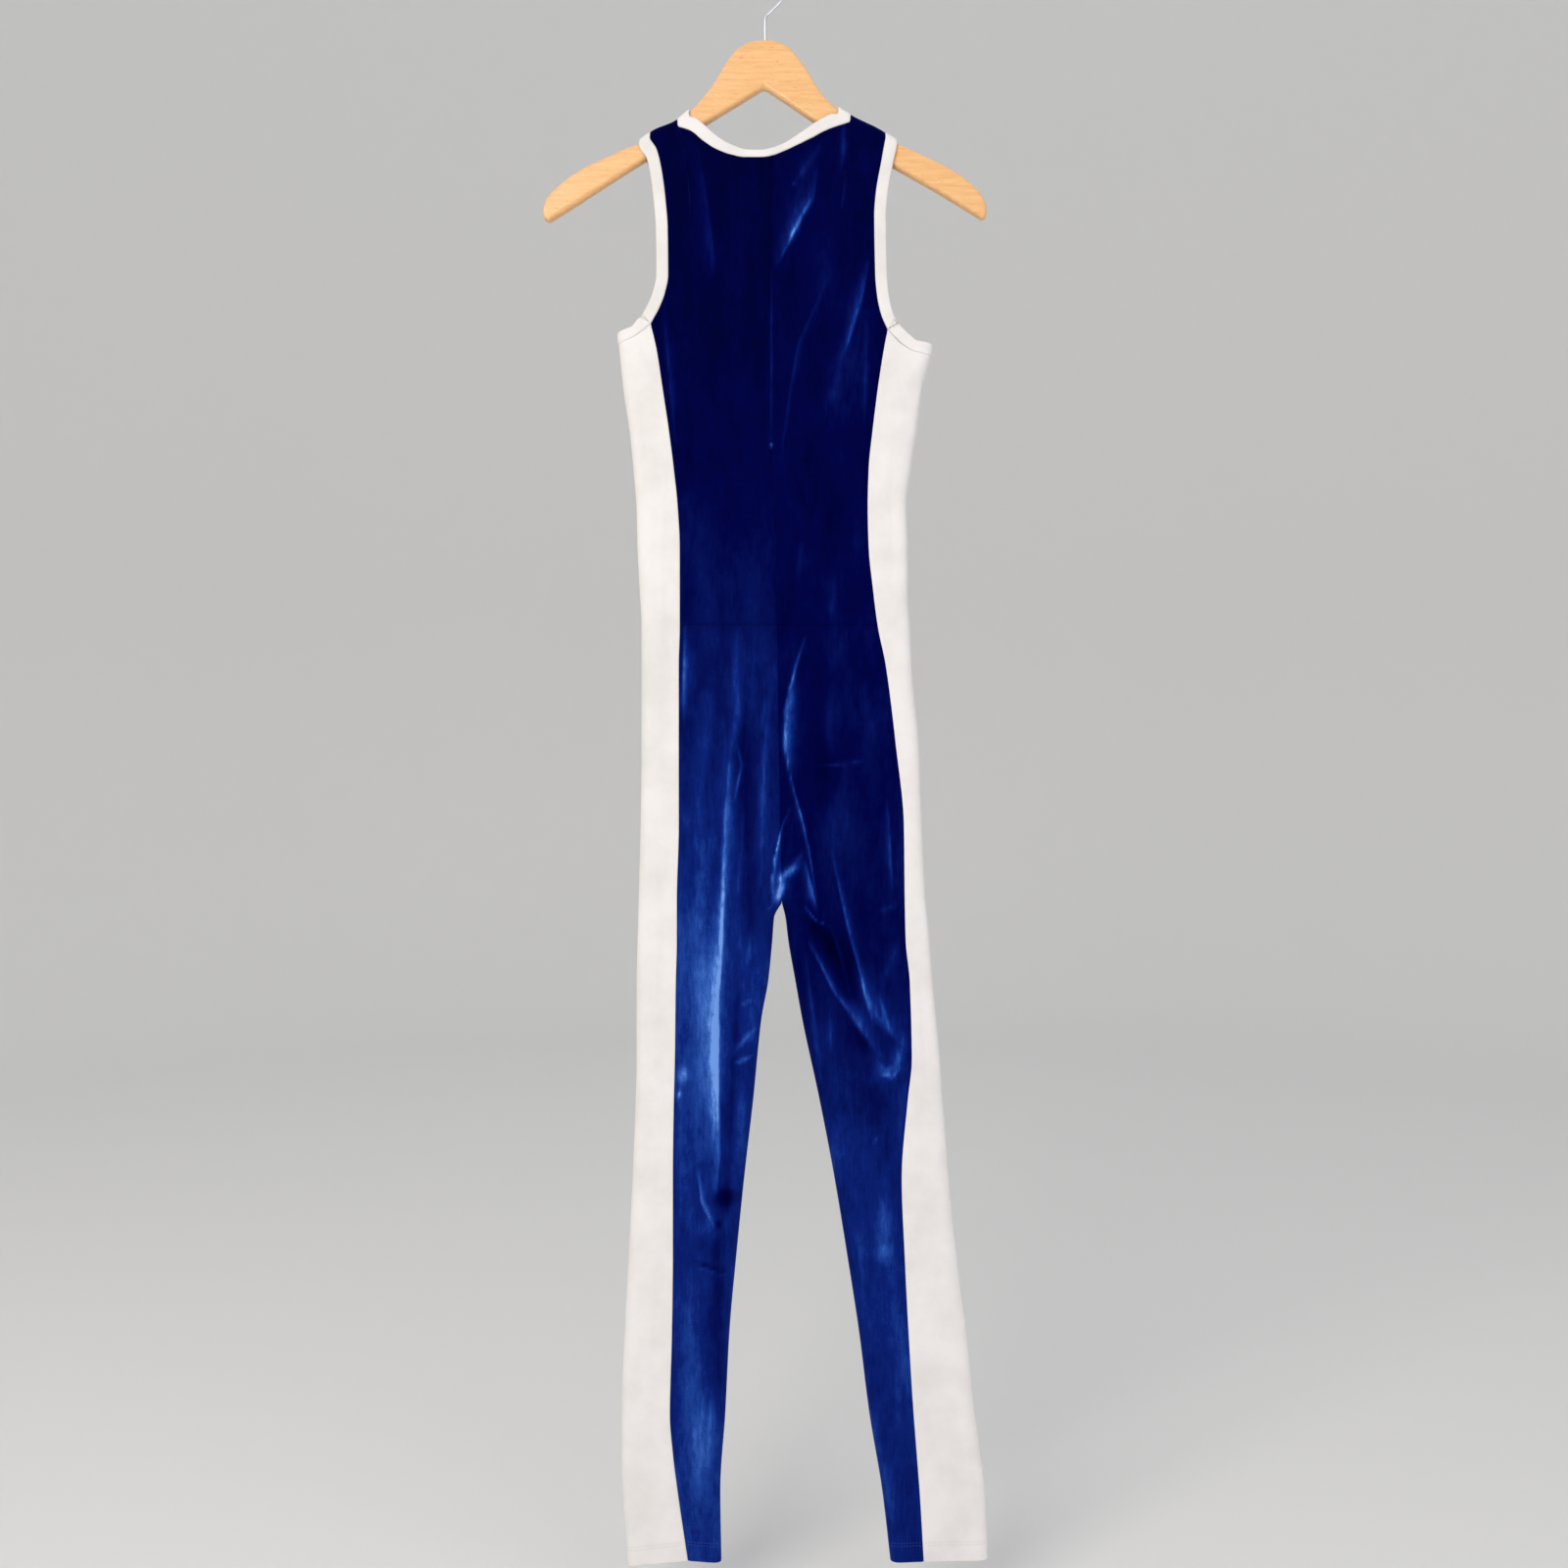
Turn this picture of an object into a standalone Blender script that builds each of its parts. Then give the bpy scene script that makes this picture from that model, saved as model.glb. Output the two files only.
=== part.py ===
"""A sleeveless full-length jumpsuit of stretch velvet with white side panels, hanging flat on a wooden hanger.

The cloth is two flattened tubes that join at the crotch and open at the neck, armholes and hems. Every panel is
a thin wall on one shared surface, whose outline, depth and folds come from the tables below. The tables are in
millimetres. "drop" is a distance down from the inside of the hook's top, and x runs to the right of the hook's
stem as the front is seen. Left and right are also as the front is seen.
"""

import math
from collections import namedtuple

import bmesh
import bpy
from mathutils import Vector

MM = 0.001

# Cloth and sewing
VELVET_THICK = 1.3
JERSEY_THICK = 1.3
NECK_BAND_WIDTH = 13.0
ARM_BAND_WIDTH = 12.0
SEAM_GAP = 0.3
HEM_TURN = 17.0
HEM_THICK = 2.5
HEM_STEP = 0.6
HEM_SLOPE_ROWS = 3

# A folded band's section: each corner's share of the width from its seam, and how far it stands out of the cloth
Corner = namedtuple("Corner", "share rise")
BAND_CORNERS = (
    Corner(0.0, 0.1),
    Corner(0.45, 0.4),
    Corner(0.9, 0.24),
    Corner(1.0, -0.7),
    Corner(0.9, -1.6),
    Corner(0.45, -1.8),
    Corner(0.0, -1.5),
)
BAND_UNDER = 1.8

# Where the panels meet
WAIST_DROP = 655.0
CROTCH_DROP = 932.0
HEM_DROP = 1588.0

# How the flattened tube rounds over: 2 is an ellipse, and more is squarer
ROUND = 2.5
EDGE_ROUND = 14.0
INNER_ROUND = 12.0
TOP_ROUND = 10.0
CROTCH_ROUND = 45.0
ROUND_STEPS = (0.0, 0.1, 0.4, 1.0)
SLOPE_STEP = 0.4

# Hanger
BOARD_THICK = 12.0
BOARD_EDGE = 5.0
WIRE_DIAMETER = 2.7
HOOK_RADIUS = 19.0
HOOK_LEAN = math.radians(45)
HOOK_TIP = math.radians(205)
HOOK_STEPS = 22
SEAT_GAP = 0.3
CLOTH_SAG = 0.35
TOP_SLOPE_STEP = 3.0

# The outline of the hanging garment, with the seams between the velvet and the side panels
Width = namedtuple("Width", "drop left_edge left_seam right_seam right_edge")
WIDTHS = (
    Width(355, -149, -114, 123, 170),
    Width(381, -146, -108, 118, 167),
    Width(420, -142, -102, 112, 157),
    Width(460, -136, -96, 107, 152),
    Width(499, -132, -91, 103, 146),
    Width(538, -129, -87, 102, 142),
    Width(578, -128, -85, 103, 143),
    Width(617, -126, -85, 107, 143),
    Width(656, -124, -85, 112, 145),
    Width(695, -124, -86, 120, 147),
    Width(774, -124, -86, 130, 154),
    Width(853, -125, -86, 138, 157),
    Width(931, -127, -88, 139, 161),
    Width(970, -128, -88, 140, 165),
    Width(1010, -129, -89, 144, 168),
    Width(1088, -129, -90, 146, 175),
    Width(1128, -130, -91, 142, 178),
    Width(1206, -133, -92, 136, 184),
    Width(1285, -137, -92, 139, 192),
    Width(1363, -141, -93, 143, 202),
    Width(1442, -144, -95, 148, 210),
    Width(1481, -144, -92, 151, 216),
    Width(1520, -143, -87, 154, 220),
    Width(1588, -138, -77, 158, 223),
)

# The centre seam down to the crotch
Centre = namedtuple("Centre", "drop x")
CENTRES = (
    Centre(150, 6.4),
    Centre(483, 6.4),
    Centre(570, 11),
    Centre(655, 12),
    Centre(750, 13),
    Centre(CROTCH_DROP, 16.5),
)

# The inner edges of the two legs below it
Inner = namedtuple("Inner", "drop left right")
INNERS = (
    Inner(CROTCH_DROP, 16.5, 16.5),
    Inner(946, 9, 20),
    Inner(970, 7, 23),
    Inner(1010, 3, 30),
    Inner(1049, -4, 37),
    Inner(1128, -12, 54),
    Inner(1206, -21, 69),
    Inner(1285, -29, 82),
    Inner(1363, -36, 94),
    Inner(1442, -40, 104),
    Inner(1520, -45, 117),
    Inner(1588, -44, 125),
)

# Half the distance between the front and the back, to their outer faces
Depth = namedtuple("Depth", "drop half")
DEPTHS = (
    Depth(150, 9.0),
    Depth(250, 10.0),
    Depth(360, 10.5),
    Depth(650, 11.0),
    Depth(930, 10.0),
    Depth(1250, 9.0),
    Depth(1588, 8.0),
)

# How much lower or higher the bottom of each leg is at its outer fold, side seam and inner edge
Hem = namedtuple("Hem", "fold seam inner")
HEMS = {-1: Hem(6, -1, 2), 1: Hem(-1, 0, 1)}

Place = namedtuple("Place", "x drop")

# The bend from the stem into the hook's straight lean, from the point where the two would meet
HOOK_BEND = (Place(0, 4), Place(0.3, 1.2), Place(1.2, -1.6), Place(4, -4))

# The seam between the velvet and the neck band, and the shoulder points where it goes over the hanger
NECK_CORNERS = {-1: -88.0, 1: 85.5}
NECK_LEAN = 1.5
NECKLINE = (
    Place(-85.8, 152),
    Place(-75, 162),
    Place(-61, 173),
    Place(-48, 181),
    Place(-34, 186),
    Place(-20, 188.5),
    Place(-3, 188.5),
    Place(11, 185.5),
    Place(43, 171),
    Place(63.5, 160.5),
    Place(83, 149.5),
)

# The seam between the velvet and each armhole band, from the shoulder to the side seam
ARMHOLES = {
    -1: (
        Place(-114, 168),
        Place(-108, 181),
        Place(-102.5, 205),
        Place(-99.5, 228),
        Place(-97, 260),
        Place(-96.5, 306),
        Place(-99.5, 323),
        Place(-104.5, 337),
        Place(-114, 355),
    ),
    1: (
        Place(119, 174),
        Place(115.5, 193),
        Place(110, 225),
        Place(108.5, 246),
        Place(109.5, 306),
        Place(111.5, 328),
        Place(115.5, 346),
        Place(122, 361),
    ),
}
SHOULDER_TIPS = {-1: -115.0, 1: 120.0}
SHOULDER_LEAN = 0.6

# Over this drop below the board, a band's way across turns from the board's slope to its own seam's
BAND_TURN = 25.0
NEAREST_PLACES = 4.0

# The same seam over each side panel: its drop at distances in from the outer fold
Under = namedtuple("Under", "away drop")
UNDERARMS = {
    -1: (Under(0, 374), Under(14, 369), Under(24, 363), Under(35, 355)),
    1: (Under(0, 386), Under(16, 383), Under(30, 376), Under(47, 361)),
}
# How much of the underarm's slope each of the panel's rows below it keeps
UNDERARM_KEPT = {1: 0.6, 2: 0.25}

# The board's top and lower edges between its tips
BOARD_TOP = (
    Place(-215, 223),
    Place(-202, 211),
    Place(-183, 198),
    Place(-162, 188),
    Place(-140, 178),
    Place(-123, 171.5),
    Place(-107, 163),
    Place(-89, 152),
    Place(-74, 139.5),
    Place(-54, 116),
    Place(-38, 90),
    Place(-28, 78),
    Place(-14, 71),
    Place(1, 69.2),
    Place(14, 71.5),
    Place(24, 77),
    Place(40, 96.5),
    Place(56, 122),
    Place(70, 136.5),
    Place(88, 148),
    Place(109, 160),
    Place(133, 173),
    Place(157, 184),
    Place(182, 196.5),
    Place(201, 208.5),
    Place(214, 221),
)
BOARD_UNDER = (
    Place(-216, 250.5),
    Place(-188, 233),
    Place(-155, 211.5),
    Place(-118, 188),
    Place(-61, 153.5),
    Place(-28, 133.5),
    Place(-1, 117),
    Place(22, 132),
    Place(46, 148.5),
    Place(78, 167),
    Place(128, 195.5),
    Place(173, 221),
    Place(217, 248),
)
# The board's rounded tips, from its top edge down
BOARD_TIPS = {
    -1: (Place(-219.7, 229.5), Place(-222.4, 236.5), Place(-222.8, 243), Place(-220.8, 248.2)),
    1: (Place(218.4, 227.5), Place(221.2, 235), Place(221.6, 241.5), Place(220.2, 246.4)),
}
BOARD_STEP = 4.5

# How far the cloth stands off the board's top edge between the neck and the armhole
Lift = namedtuple("Lift", "x rise")
LIFTS = (Lift(-123, 2), Lift(-112, 4), Lift(-86, 0), Lift(86, 0), Lift(112, 2), Lift(131, 1))

# The largest folds: soft ridges, or troughs where the rise is below 0, through three places each
Fold = namedtuple("Fold", "start bend end width rise")
FOLD_REACH = 3
FOLD_END = 0.06
FOLD_FADE = 0.7
FRONT_FOLDS = (
    Fold((48, 196), (33, 244), (12, 294), 8, 2.2),
    Fold((104, 285), (86, 368), (61, 452), 9, 2.6),
    Fold((62, 308), (30, 386), (16, 480), 9, 1.6),
    Fold((-70, 168), (-58, 236), (-52, 302), 10, 1.6),
    Fold((-40, 560), (-30, 610), (-27, 645), 14, -1.4),
    Fold((39, 664), (21, 742), (26, 812), 8, 3.2),
    Fold((26, 812), (38, 858), (52, 926), 8, 2.8),
    Fold((-27, 660), (-27, 742), (-40, 890), 10, 2.4),
    Fold((-40, 890), (-50, 1030), (-46, 1224), 10, 2.6),
    Fold((-65, 800), (-66, 960), (-63, 1130), 13, 2.0),
    Fold((5, 720), (-4, 838), (-8, 915), 8, 1.8),
    Fold((63, 714), (66, 790), (78, 892), 12, 2.4),
    Fold((68, 894), (84, 965), (107, 1050), 9, 2.2),
    Fold((43, 972), (84, 1044), (122, 1104), 8, 3.0),
    Fold((122, 1104), (133, 1098), (141, 1058), 8, 2.2),
    Fold((58, 958), (64, 986), (84, 1020), 9, -2.0),
    Fold((-52, 1226), (-42, 1236), (-34, 1240), 8, 2.0),
    Fold((-70, 1190), (-66, 1300), (-68, 1420), 12, 1.5),
    Fold((112, 1180), (120, 1290), (136, 1450), 10, 1.5),
    Fold((150, 1400), (164, 1440), (182, 1484), 10, -1.8),
    Fold((-120, 520), (-108, 700), (-106, 900), 9, 1.2),
    Fold((152, 380), (132, 430), (124, 520), 9, 1.4),
)
BACK_FOLDS = (
    Fold((-44, 200), (-30, 262), (-10, 320), 9, 2.0),
    Fold((-84, 300), (-66, 390), (-38, 480), 10, 2.4),
    Fold((72, 210), (66, 300), (70, 400), 10, 1.8),
    Fold((20, 520), (26, 580), (22, 640), 12, 1.8),
    Fold((-30, 668), (-8, 760), (6, 880), 9, 2.8),
    Fold((64, 664), (44, 770), (30, 890), 9, 2.8),
    Fold((-60, 720), (-62, 880), (-56, 1080), 13, 2.2),
    Fold((100, 740), (106, 880), (104, 1010), 13, 2.2),
    Fold((0, 1010), (-30, 1080), (-62, 1140), 9, 2.4),
    Fold((50, 1030), (82, 1098), (118, 1140), 9, 2.6),
    Fold((-66, 1180), (-62, 1300), (-66, 1430), 12, 1.6),
    Fold((116, 1200), (122, 1310), (138, 1460), 11, 1.6),
    Fold((-122, 600), (-108, 820), (-110, 1100), 10, 1.2),
    Fold((160, 1000), (168, 1150), (176, 1300), 10, 1.4),
)

# Grid sizes
NECK_COLUMNS = 6
SHOULDER_COLUMNS = 2
ARMHOLE_ROWS = 7
SIDE_ROWS = 9
LEG_ROWS = 24
LEG_COLUMNS = 4
CORNER_SHARE = 0.4
CROTCH_STEPS = (1.0, 0.35, 0.1, 0.02)
ROWS_TO_CROTCH = 6
BELOW_CROTCH = (12.0, 34.0)

FRONT, BACK = -1, 1
LEFT, RIGHT = -1, 1
SIDE_NAMES = {LEFT: "left", RIGHT: "right"}
FACE_NAMES = {FRONT: "front", BACK: "back"}


class Curve:
    """A smooth curve through points with rising x, which never swings past them and is level beyond its ends."""

    def __init__(self, points):
        self.points = [(float(x), float(y)) for x, y in points]
        steps = list(zip(self.points, self.points[1:]))
        rises = [(b[1] - a[1]) / (b[0] - a[0]) for a, b in steps]
        self.slopes = [rises[0]]
        for before, after in zip(rises, rises[1:]):
            turns = before * after <= 0
            self.slopes.append(0.0 if turns else 2 * before * after / (before + after))
        self.slopes.append(rises[-1])

    def __call__(self, x):
        points = self.points
        x = min(max(x, points[0][0]), points[-1][0])
        k = 0
        while k < len(points) - 2 and x > points[k + 1][0]:
            k += 1
        (x0, y0), (x1, y1) = points[k], points[k + 1]
        long = x1 - x0
        t = (x - x0) / long
        rise0, rise1 = self.slopes[k] * long, self.slopes[k + 1] * long
        bend = (2 * t - 3) * t * t
        return y0 * (1 + bend) - y1 * bend + rise0 * t * (1 - t) ** 2 - rise1 * t * t * (1 - t)


def lerp(a, b, share):
    return a + (b - a) * share


def clamp(value):
    return min(max(value, 0.0), 1.0)


def smooth_path(places, steps):
    """Places at equal distances along a smooth path through the given ones."""
    along = [0.0]
    for a, b in zip(places, places[1:]):
        along.append(along[-1] + math.dist(a, b))
    xs = Curve(zip(along, [p[0] for p in places]))
    drops = Curve(zip(along, [p[1] for p in places]))
    return [Place(xs(along[-1] * k / steps), drops(along[-1] * k / steps)) for k in range(steps + 1)]


def side_curves(rows, left, right):
    """A curve for each side, from the rows' drops and that side's column."""
    return {
        LEFT: Curve((row.drop, getattr(row, left)) for row in rows),
        RIGHT: Curve((row.drop, getattr(row, right)) for row in rows),
    }


EDGES = side_curves(WIDTHS, "left_edge", "right_edge")
SEAMS = side_curves(WIDTHS, "left_seam", "right_seam")
LEG_EDGES = side_curves(INNERS, "left", "right")
CENTRE_SEAM = Curve(CENTRES)
HALF_DEPTH = Curve(DEPTHS)
LIFT_CURVE = Curve(LIFTS)


def close_points(points, step):
    """Points about a step apart along x, on the smooth curve through the given ones."""
    curve = Curve(points)
    first, last = points[0].x, points[-1].x
    count = round((last - first) / step)
    xs = [lerp(first, last, k / count) for k in range(count + 1)]
    return [Place(x, curve(x)) for x in xs]


TOP_POINTS = close_points(BOARD_TOP, BOARD_STEP)


def board_top(x):
    """The drop of the board's top edge, which runs straight between its close points."""
    k = 0
    while k < len(TOP_POINTS) - 2 and x > TOP_POINTS[k + 1].x:
        k += 1
    a, b = TOP_POINTS[k], TOP_POINTS[k + 1]
    return lerp(a.drop, b.drop, (x - a.x) / (b.x - a.x))


def top_drop(x):
    """The drop of the cloth's line along the board's top edge.

    The band clears the board by the seat gap, after the sag of its flat facets where it bends over the edge.
    """
    slope = (board_top(x + TOP_SLOPE_STEP) - board_top(x - TOP_SLOPE_STEP)) / (2 * TOP_SLOPE_STEP)
    off_board = (SEAT_GAP + CLOTH_SAG + BAND_UNDER) * math.hypot(1, slope)
    return board_top(x) - off_board - LIFT_CURVE(x)


def inner_edge(side, drop):
    """The centre seam above the crotch, and a leg's inner edge below it."""
    return CENTRE_SEAM(drop) if drop <= CROTCH_DROP else LEG_EDGES[side](drop)


def fold_rise(face, x, drop):
    """How far the folds of one face stand out at a place."""
    rise = 0.0
    for fold in FRONT_FOLDS if face == FRONT else BACK_FOLDS:
        nearest, share = math.inf, 0.0
        for start, end, first in ((fold.start, fold.bend, 0.0), (fold.bend, fold.end, 0.5)):
            run = (end[0] - start[0], end[1] - start[1])
            t = ((x - start[0]) * run[0] + (drop - start[1]) * run[1]) / (run[0] ** 2 + run[1] ** 2)
            t = clamp(t)
            away = math.hypot(x - start[0] - t * run[0], drop - start[1] - t * run[1])
            if away < nearest:
                nearest, share = away, first + t / 2
        if nearest < FOLD_REACH * fold.width:
            fade = math.sin(math.pi * lerp(FOLD_END, 1 - FOLD_END, share)) ** FOLD_FADE
            rise += fold.rise * fade * math.exp(-((nearest / fold.width) ** 2))
    return rise


def openness(side, x, drop):
    """How far the tube has opened at a place: 0 on its folded edges and 1 where its faces lie flat."""
    from_edge = side * (EDGES[side](drop) - x) / EDGE_ROUND
    from_inner = side * (x - inner_edge(side, drop)) / INNER_ROUND
    above_crotch = clamp((CROTCH_DROP - drop) / CROTCH_ROUND)
    below_top = (drop - top_drop(x)) / TOP_ROUND
    at_edge = 1 - max(0.0, 1 - from_edge) ** ROUND
    at_inner = 1 - (max(0.0, 1 - from_inner) * (1 - above_crotch)) ** ROUND
    at_top = 1 - max(0.0, 1 - below_top) ** ROUND
    return at_edge * at_inner * at_top


def reach(face, x, drop):
    return HALF_DEPTH(drop) + fold_rise(face, x, drop)


def spot(side, face, x, drop, y=None):
    """The point of the garment's outer surface at a place, and the direction out of the cloth there."""
    step = SLOPE_STEP
    open_here = max(openness(side, x, drop), 0.0)
    far = reach(face, x, drop)
    deep = open_here ** (1 / ROUND)
    open_x = (openness(side, x + step, drop) - openness(side, x - step, drop)) / (2 * step)
    open_drop = (openness(side, x, drop + step) - openness(side, x, drop - step)) / (2 * step)
    far_x = (reach(face, x + step, drop) - reach(face, x - step, drop)) / (2 * step)
    far_drop = (reach(face, x, drop + step) - reach(face, x, drop - step)) / (2 * step)
    out = Vector(
        (
            -open_x - ROUND * open_here * far_x / far,
            face * ROUND * deep ** (ROUND - 1) / far,
            open_drop + ROUND * open_here * far_drop / far,
        )
    )
    return Vector((x, face * far * deep if y is None else y, -drop)), out.normalized()


class Band:
    """A folded band along one half of an opening: the seam that it is sewn to, and the way across it."""

    def __init__(self, places, outward, last_way):
        self.places = places
        self.ways = []
        for j, place in enumerate(places):
            before, after = places[max(j - 1, 0)], places[min(j + 1, len(places) - 1)]
            run = (after.x - before.x, after.drop - before.drop)
            long = math.hypot(*run)
            way = (outward * run[1] / long, -outward * run[0] / long)
            self.ways.append(last_way if last_way and j == len(places) - 1 else way)
        self.outward = outward

    def across(self, j, far):
        """The place at a distance across the band from its seam.

        Over the shoulder it follows the board, and under the arm it keeps its distance from the outer fold.
        """
        place, way = self.places[j], self.ways[j]
        below_top = place.drop - top_drop(place.x)
        on_top = clamp(1 - (below_top - TOP_ROUND) / BAND_TURN)
        drop = place.drop + way[1] * far
        edge = EDGES[LEFT if place.x < 0 else RIGHT]
        near_fold = clamp(2 - abs(place.x - edge(place.drop)) / EDGE_ROUND)
        follow = near_fold * (edge(drop) - edge(place.drop))
        flat = Place(place.x + way[0] * far * (1 - near_fold) + follow, drop)
        slope = (top_drop(place.x + 1) - top_drop(place.x - 1)) / 2
        x = place.x + self.outward * far / math.hypot(1, slope)
        over = Place(x, top_drop(x) + below_top)
        return Place(lerp(flat.x, over.x, on_top), lerp(flat.drop, over.drop, on_top))


def from_top(x, path):
    """Stations where a seam that comes up a face at x goes over the board, then equal steps down the path."""
    return [Place(x, top_drop(x) + share * TOP_ROUND) for share in ROUND_STEPS[:-1]] + path


def neck_band(side):
    """One half of the neck seam, from the shoulder to the centre."""
    centre = CENTRE_SEAM(NECKLINE[0].drop)
    corner = NECK_CORNERS[side]
    neckline = Curve(NECKLINE)
    half = [p for p in NECKLINE if side * (p.x - centre) > 0]
    half = sorted(half, key=lambda p: -side * p.x)
    start = Place(corner - side * NECK_LEAN, top_drop(corner) + TOP_ROUND)
    half = [p for p in half if side * (start.x - p.x) > NEAREST_PLACES]
    path = smooth_path([start, *half, Place(centre, neckline(centre))], NECK_COLUMNS)
    return Band(from_top(corner, path), -side, (0.0, -1.0))


def arm_band(side):
    """One half of an armhole seam, from the shoulder to the outer fold under the arm."""
    tip = SHOULDER_TIPS[side]
    start = Place(tip - side * SHOULDER_LEAN, top_drop(tip) + TOP_ROUND)
    lower = [p for p in ARMHOLES[side] if p.drop > start.drop + NEAREST_PLACES]
    down = smooth_path([start, *lower], ARMHOLE_ROWS)
    under = [place for _, place in underarm(side)]
    return Band(from_top(tip, down + under[1:]), side, (0.0, -1.0))


def side_columns(side, drop):
    """Distances from the outer fold to a side panel's columns, from its seam to the fold."""
    seam = abs(SEAMS[side](drop) - EDGES[side](drop))
    return [seam, lerp(EDGE_ROUND, seam, 0.5)] + [share * EDGE_ROUND for share in reversed(ROUND_STEPS)]


def underarm(side):
    """A side panel's top edge: each column's distance from the fold, and its place."""
    line = Curve(UNDERARMS[side])
    found = []
    for away in side_columns(side, ARMHOLES[side][-1].drop):
        drop = line(away)
        found.append((away, Place(EDGES[side](drop) - side * away, drop)))
    return found


def side_stations(side):
    """Drops of the rows along a side seam, from the underarm to the waist."""
    corner = ARMHOLES[side][-1].drop
    return [lerp(corner, WAIST_DROP, k / SIDE_ROWS) for k in range(SIDE_ROWS + 1)]


def leg_stations(bottom):
    """Drops of the rows from the waist to a hem, with the inner layer of the turned hem as a step."""
    turn = bottom - HEM_TURN
    rows = [lerp(WAIST_DROP, turn, k / LEG_ROWS) for k in range(LEG_ROWS + 1)]
    return rows + [turn + HEM_STEP, bottom]


def inner_stations(bottom):
    """Drops of the same rows along the centre seam and the inner leg, closer together at the crotch."""
    near = [CROTCH_DROP - share * CROTCH_ROUND for share in CROTCH_STEPS] + [CROTCH_DROP]
    above = [lerp(WAIST_DROP, near[0], k / ROWS_TO_CROTCH) for k in range(ROWS_TO_CROTCH)]
    below = [CROTCH_DROP + drop for drop in BELOW_CROTCH]
    turn = bottom - HEM_TURN
    rest = LEG_ROWS + 1 - len(above + near + below)
    lower = [lerp(below[-1], turn, (k + 1) / rest) for k in range(rest)]
    return above + near + below + lower + [turn + HEM_STEP, bottom]


def row_thickness(rows, thick):
    """The wall at each row: double where the hem is turned up inside."""
    return [thick] * (rows - 2) + [HEM_THICK] * 2


def material(name, colour, roughness, metallic=0.0, sheen=0.0, coat=0.0):
    made = bpy.data.materials.new(name)
    made.use_nodes = True
    shader = made.node_tree.nodes["Principled BSDF"]
    shader.inputs["Base Color"].default_value = (*colour, 1.0)
    shader.inputs["Roughness"].default_value = roughness
    shader.inputs["Metallic"].default_value = metallic
    shader.inputs["Sheen Weight"].default_value = sheen
    shader.inputs["Coat Weight"].default_value = coat
    return made


def own_material(stuff, name):
    """A piece's own copy of a finish."""
    made = stuff.copy()
    made.name = f"{name}_{stuff.name}"
    return made


def finish(name, mesh_maker, stuff, parent):
    """Puts a closed mesh into the scene as one smooth-shaded object."""
    bmesh.ops.recalc_face_normals(mesh_maker, faces=mesh_maker.faces[:])
    mesh = bpy.data.meshes.new(name)
    mesh_maker.to_mesh(mesh)
    mesh_maker.free()
    mesh.shade_smooth()
    mesh.set_sharp_from_angle(angle=math.radians(50))
    mesh.materials.append(own_material(stuff, name))
    made = bpy.data.objects.new(name, mesh)
    bpy.context.scene.collection.objects.link(made)
    made.parent = parent
    return made


def wall(name, grid, thicknesses, stuff, parent):
    """A cloth panel: an outer face through rows of spots, the same face moved in, and a rim all round."""
    made = bmesh.new()
    outer = [[made.verts.new(point * MM) for point, _ in row] for row in grid]
    inner = [
        [made.verts.new((point - out * thick) * MM) for point, out in row]
        for row, thick in zip(grid, thicknesses)
    ]
    for layer in (outer, inner):
        for row, below in zip(layer, layer[1:]):
            for k in range(len(row) - 1):
                made.faces.new((row[k], row[k + 1], below[k + 1], below[k]))
    last = len(grid) - 1
    rims = [
        [(0, k) for k in range(len(grid[0]))],
        [(last, k) for k in range(len(grid[0]))],
        [(j, 0) for j in range(last + 1)],
        [(j, len(grid[0]) - 1) for j in range(last + 1)],
    ]
    for rim in rims:
        for (j, k), (m, n) in zip(rim, rim[1:]):
            made.faces.new((outer[j][k], outer[m][n], inner[m][n], inner[j][k]))
    return finish(name, made, stuff, parent)


def bodice_plan(side):
    """Places over one half of a bodice face: rows from the neck and shoulder down, each from the centre out."""
    neck, arm = neck_band(side), arm_band(side)
    half_gap = SEAM_GAP / 2
    corner = len(ROUND_STEPS) - 1 + ARMHOLE_ROWS
    count = len(neck.places)
    top = [neck.across(k, -half_gap) for k in reversed(range(count))]
    centre = CENTRE_SEAM(top[0].drop) + side * half_gap
    top[0] = Place(centre, top[0].drop)
    tip = arm.across(0, -half_gap)
    for k in range(1, SHOULDER_COLUMNS):
        x = lerp(top[count - 1].x, tip.x, k / SHOULDER_COLUMNS)
        top.append(Place(x, top_drop(x)))
    top.append(tip)
    outer = [arm.across(j, -half_gap) for j in range(corner)]
    shares = [share * TOP_ROUND / (WAIST_DROP - tip.drop) for share in ROUND_STEPS[:-1]]
    first = TOP_ROUND / (WAIST_DROP - tip.drop)
    shares += [lerp(first, CORNER_SHARE, k / ARMHOLE_ROWS) for k in range(ARMHOLE_ROWS)]
    for k, drop in enumerate(side_stations(side)):
        outer.append(Place(SEAMS[side](drop) - side * half_gap, drop + (half_gap if k == 0 else 0)))
        shares.append(lerp(CORNER_SHARE, 1, k / SIDE_ROWS))
    bottom_drop = WAIST_DROP - half_gap
    outer[-1] = Place(outer[-1].x, bottom_drop)
    middle = CENTRE_SEAM(WAIST_DROP) + side * half_gap
    columns = len(top) - 1
    bottom = [Place(lerp(middle, outer[-1].x, k / columns), bottom_drop) for k in range(columns + 1)]
    plan = []
    for v, out in zip(shares, outer):
        drop = lerp(top[0].drop, bottom_drop, v)
        inside = Place(CENTRE_SEAM(drop) + side * half_gap, drop)
        row = []
        for k in range(columns + 1):
            u = k / columns
            place = []
            for axis in (0, 1):
                down = lerp(top[k][axis], bottom[k][axis], v)
                over = lerp(inside[axis], out[axis], u)
                corners = lerp(
                    lerp(top[0][axis], bottom[0][axis], v),
                    lerp(top[-1][axis], bottom[-1][axis], v),
                    u,
                )
                place.append(down + over - corners)
            row.append(Place(*place))
        plan.append(row)
    return plan


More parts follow.
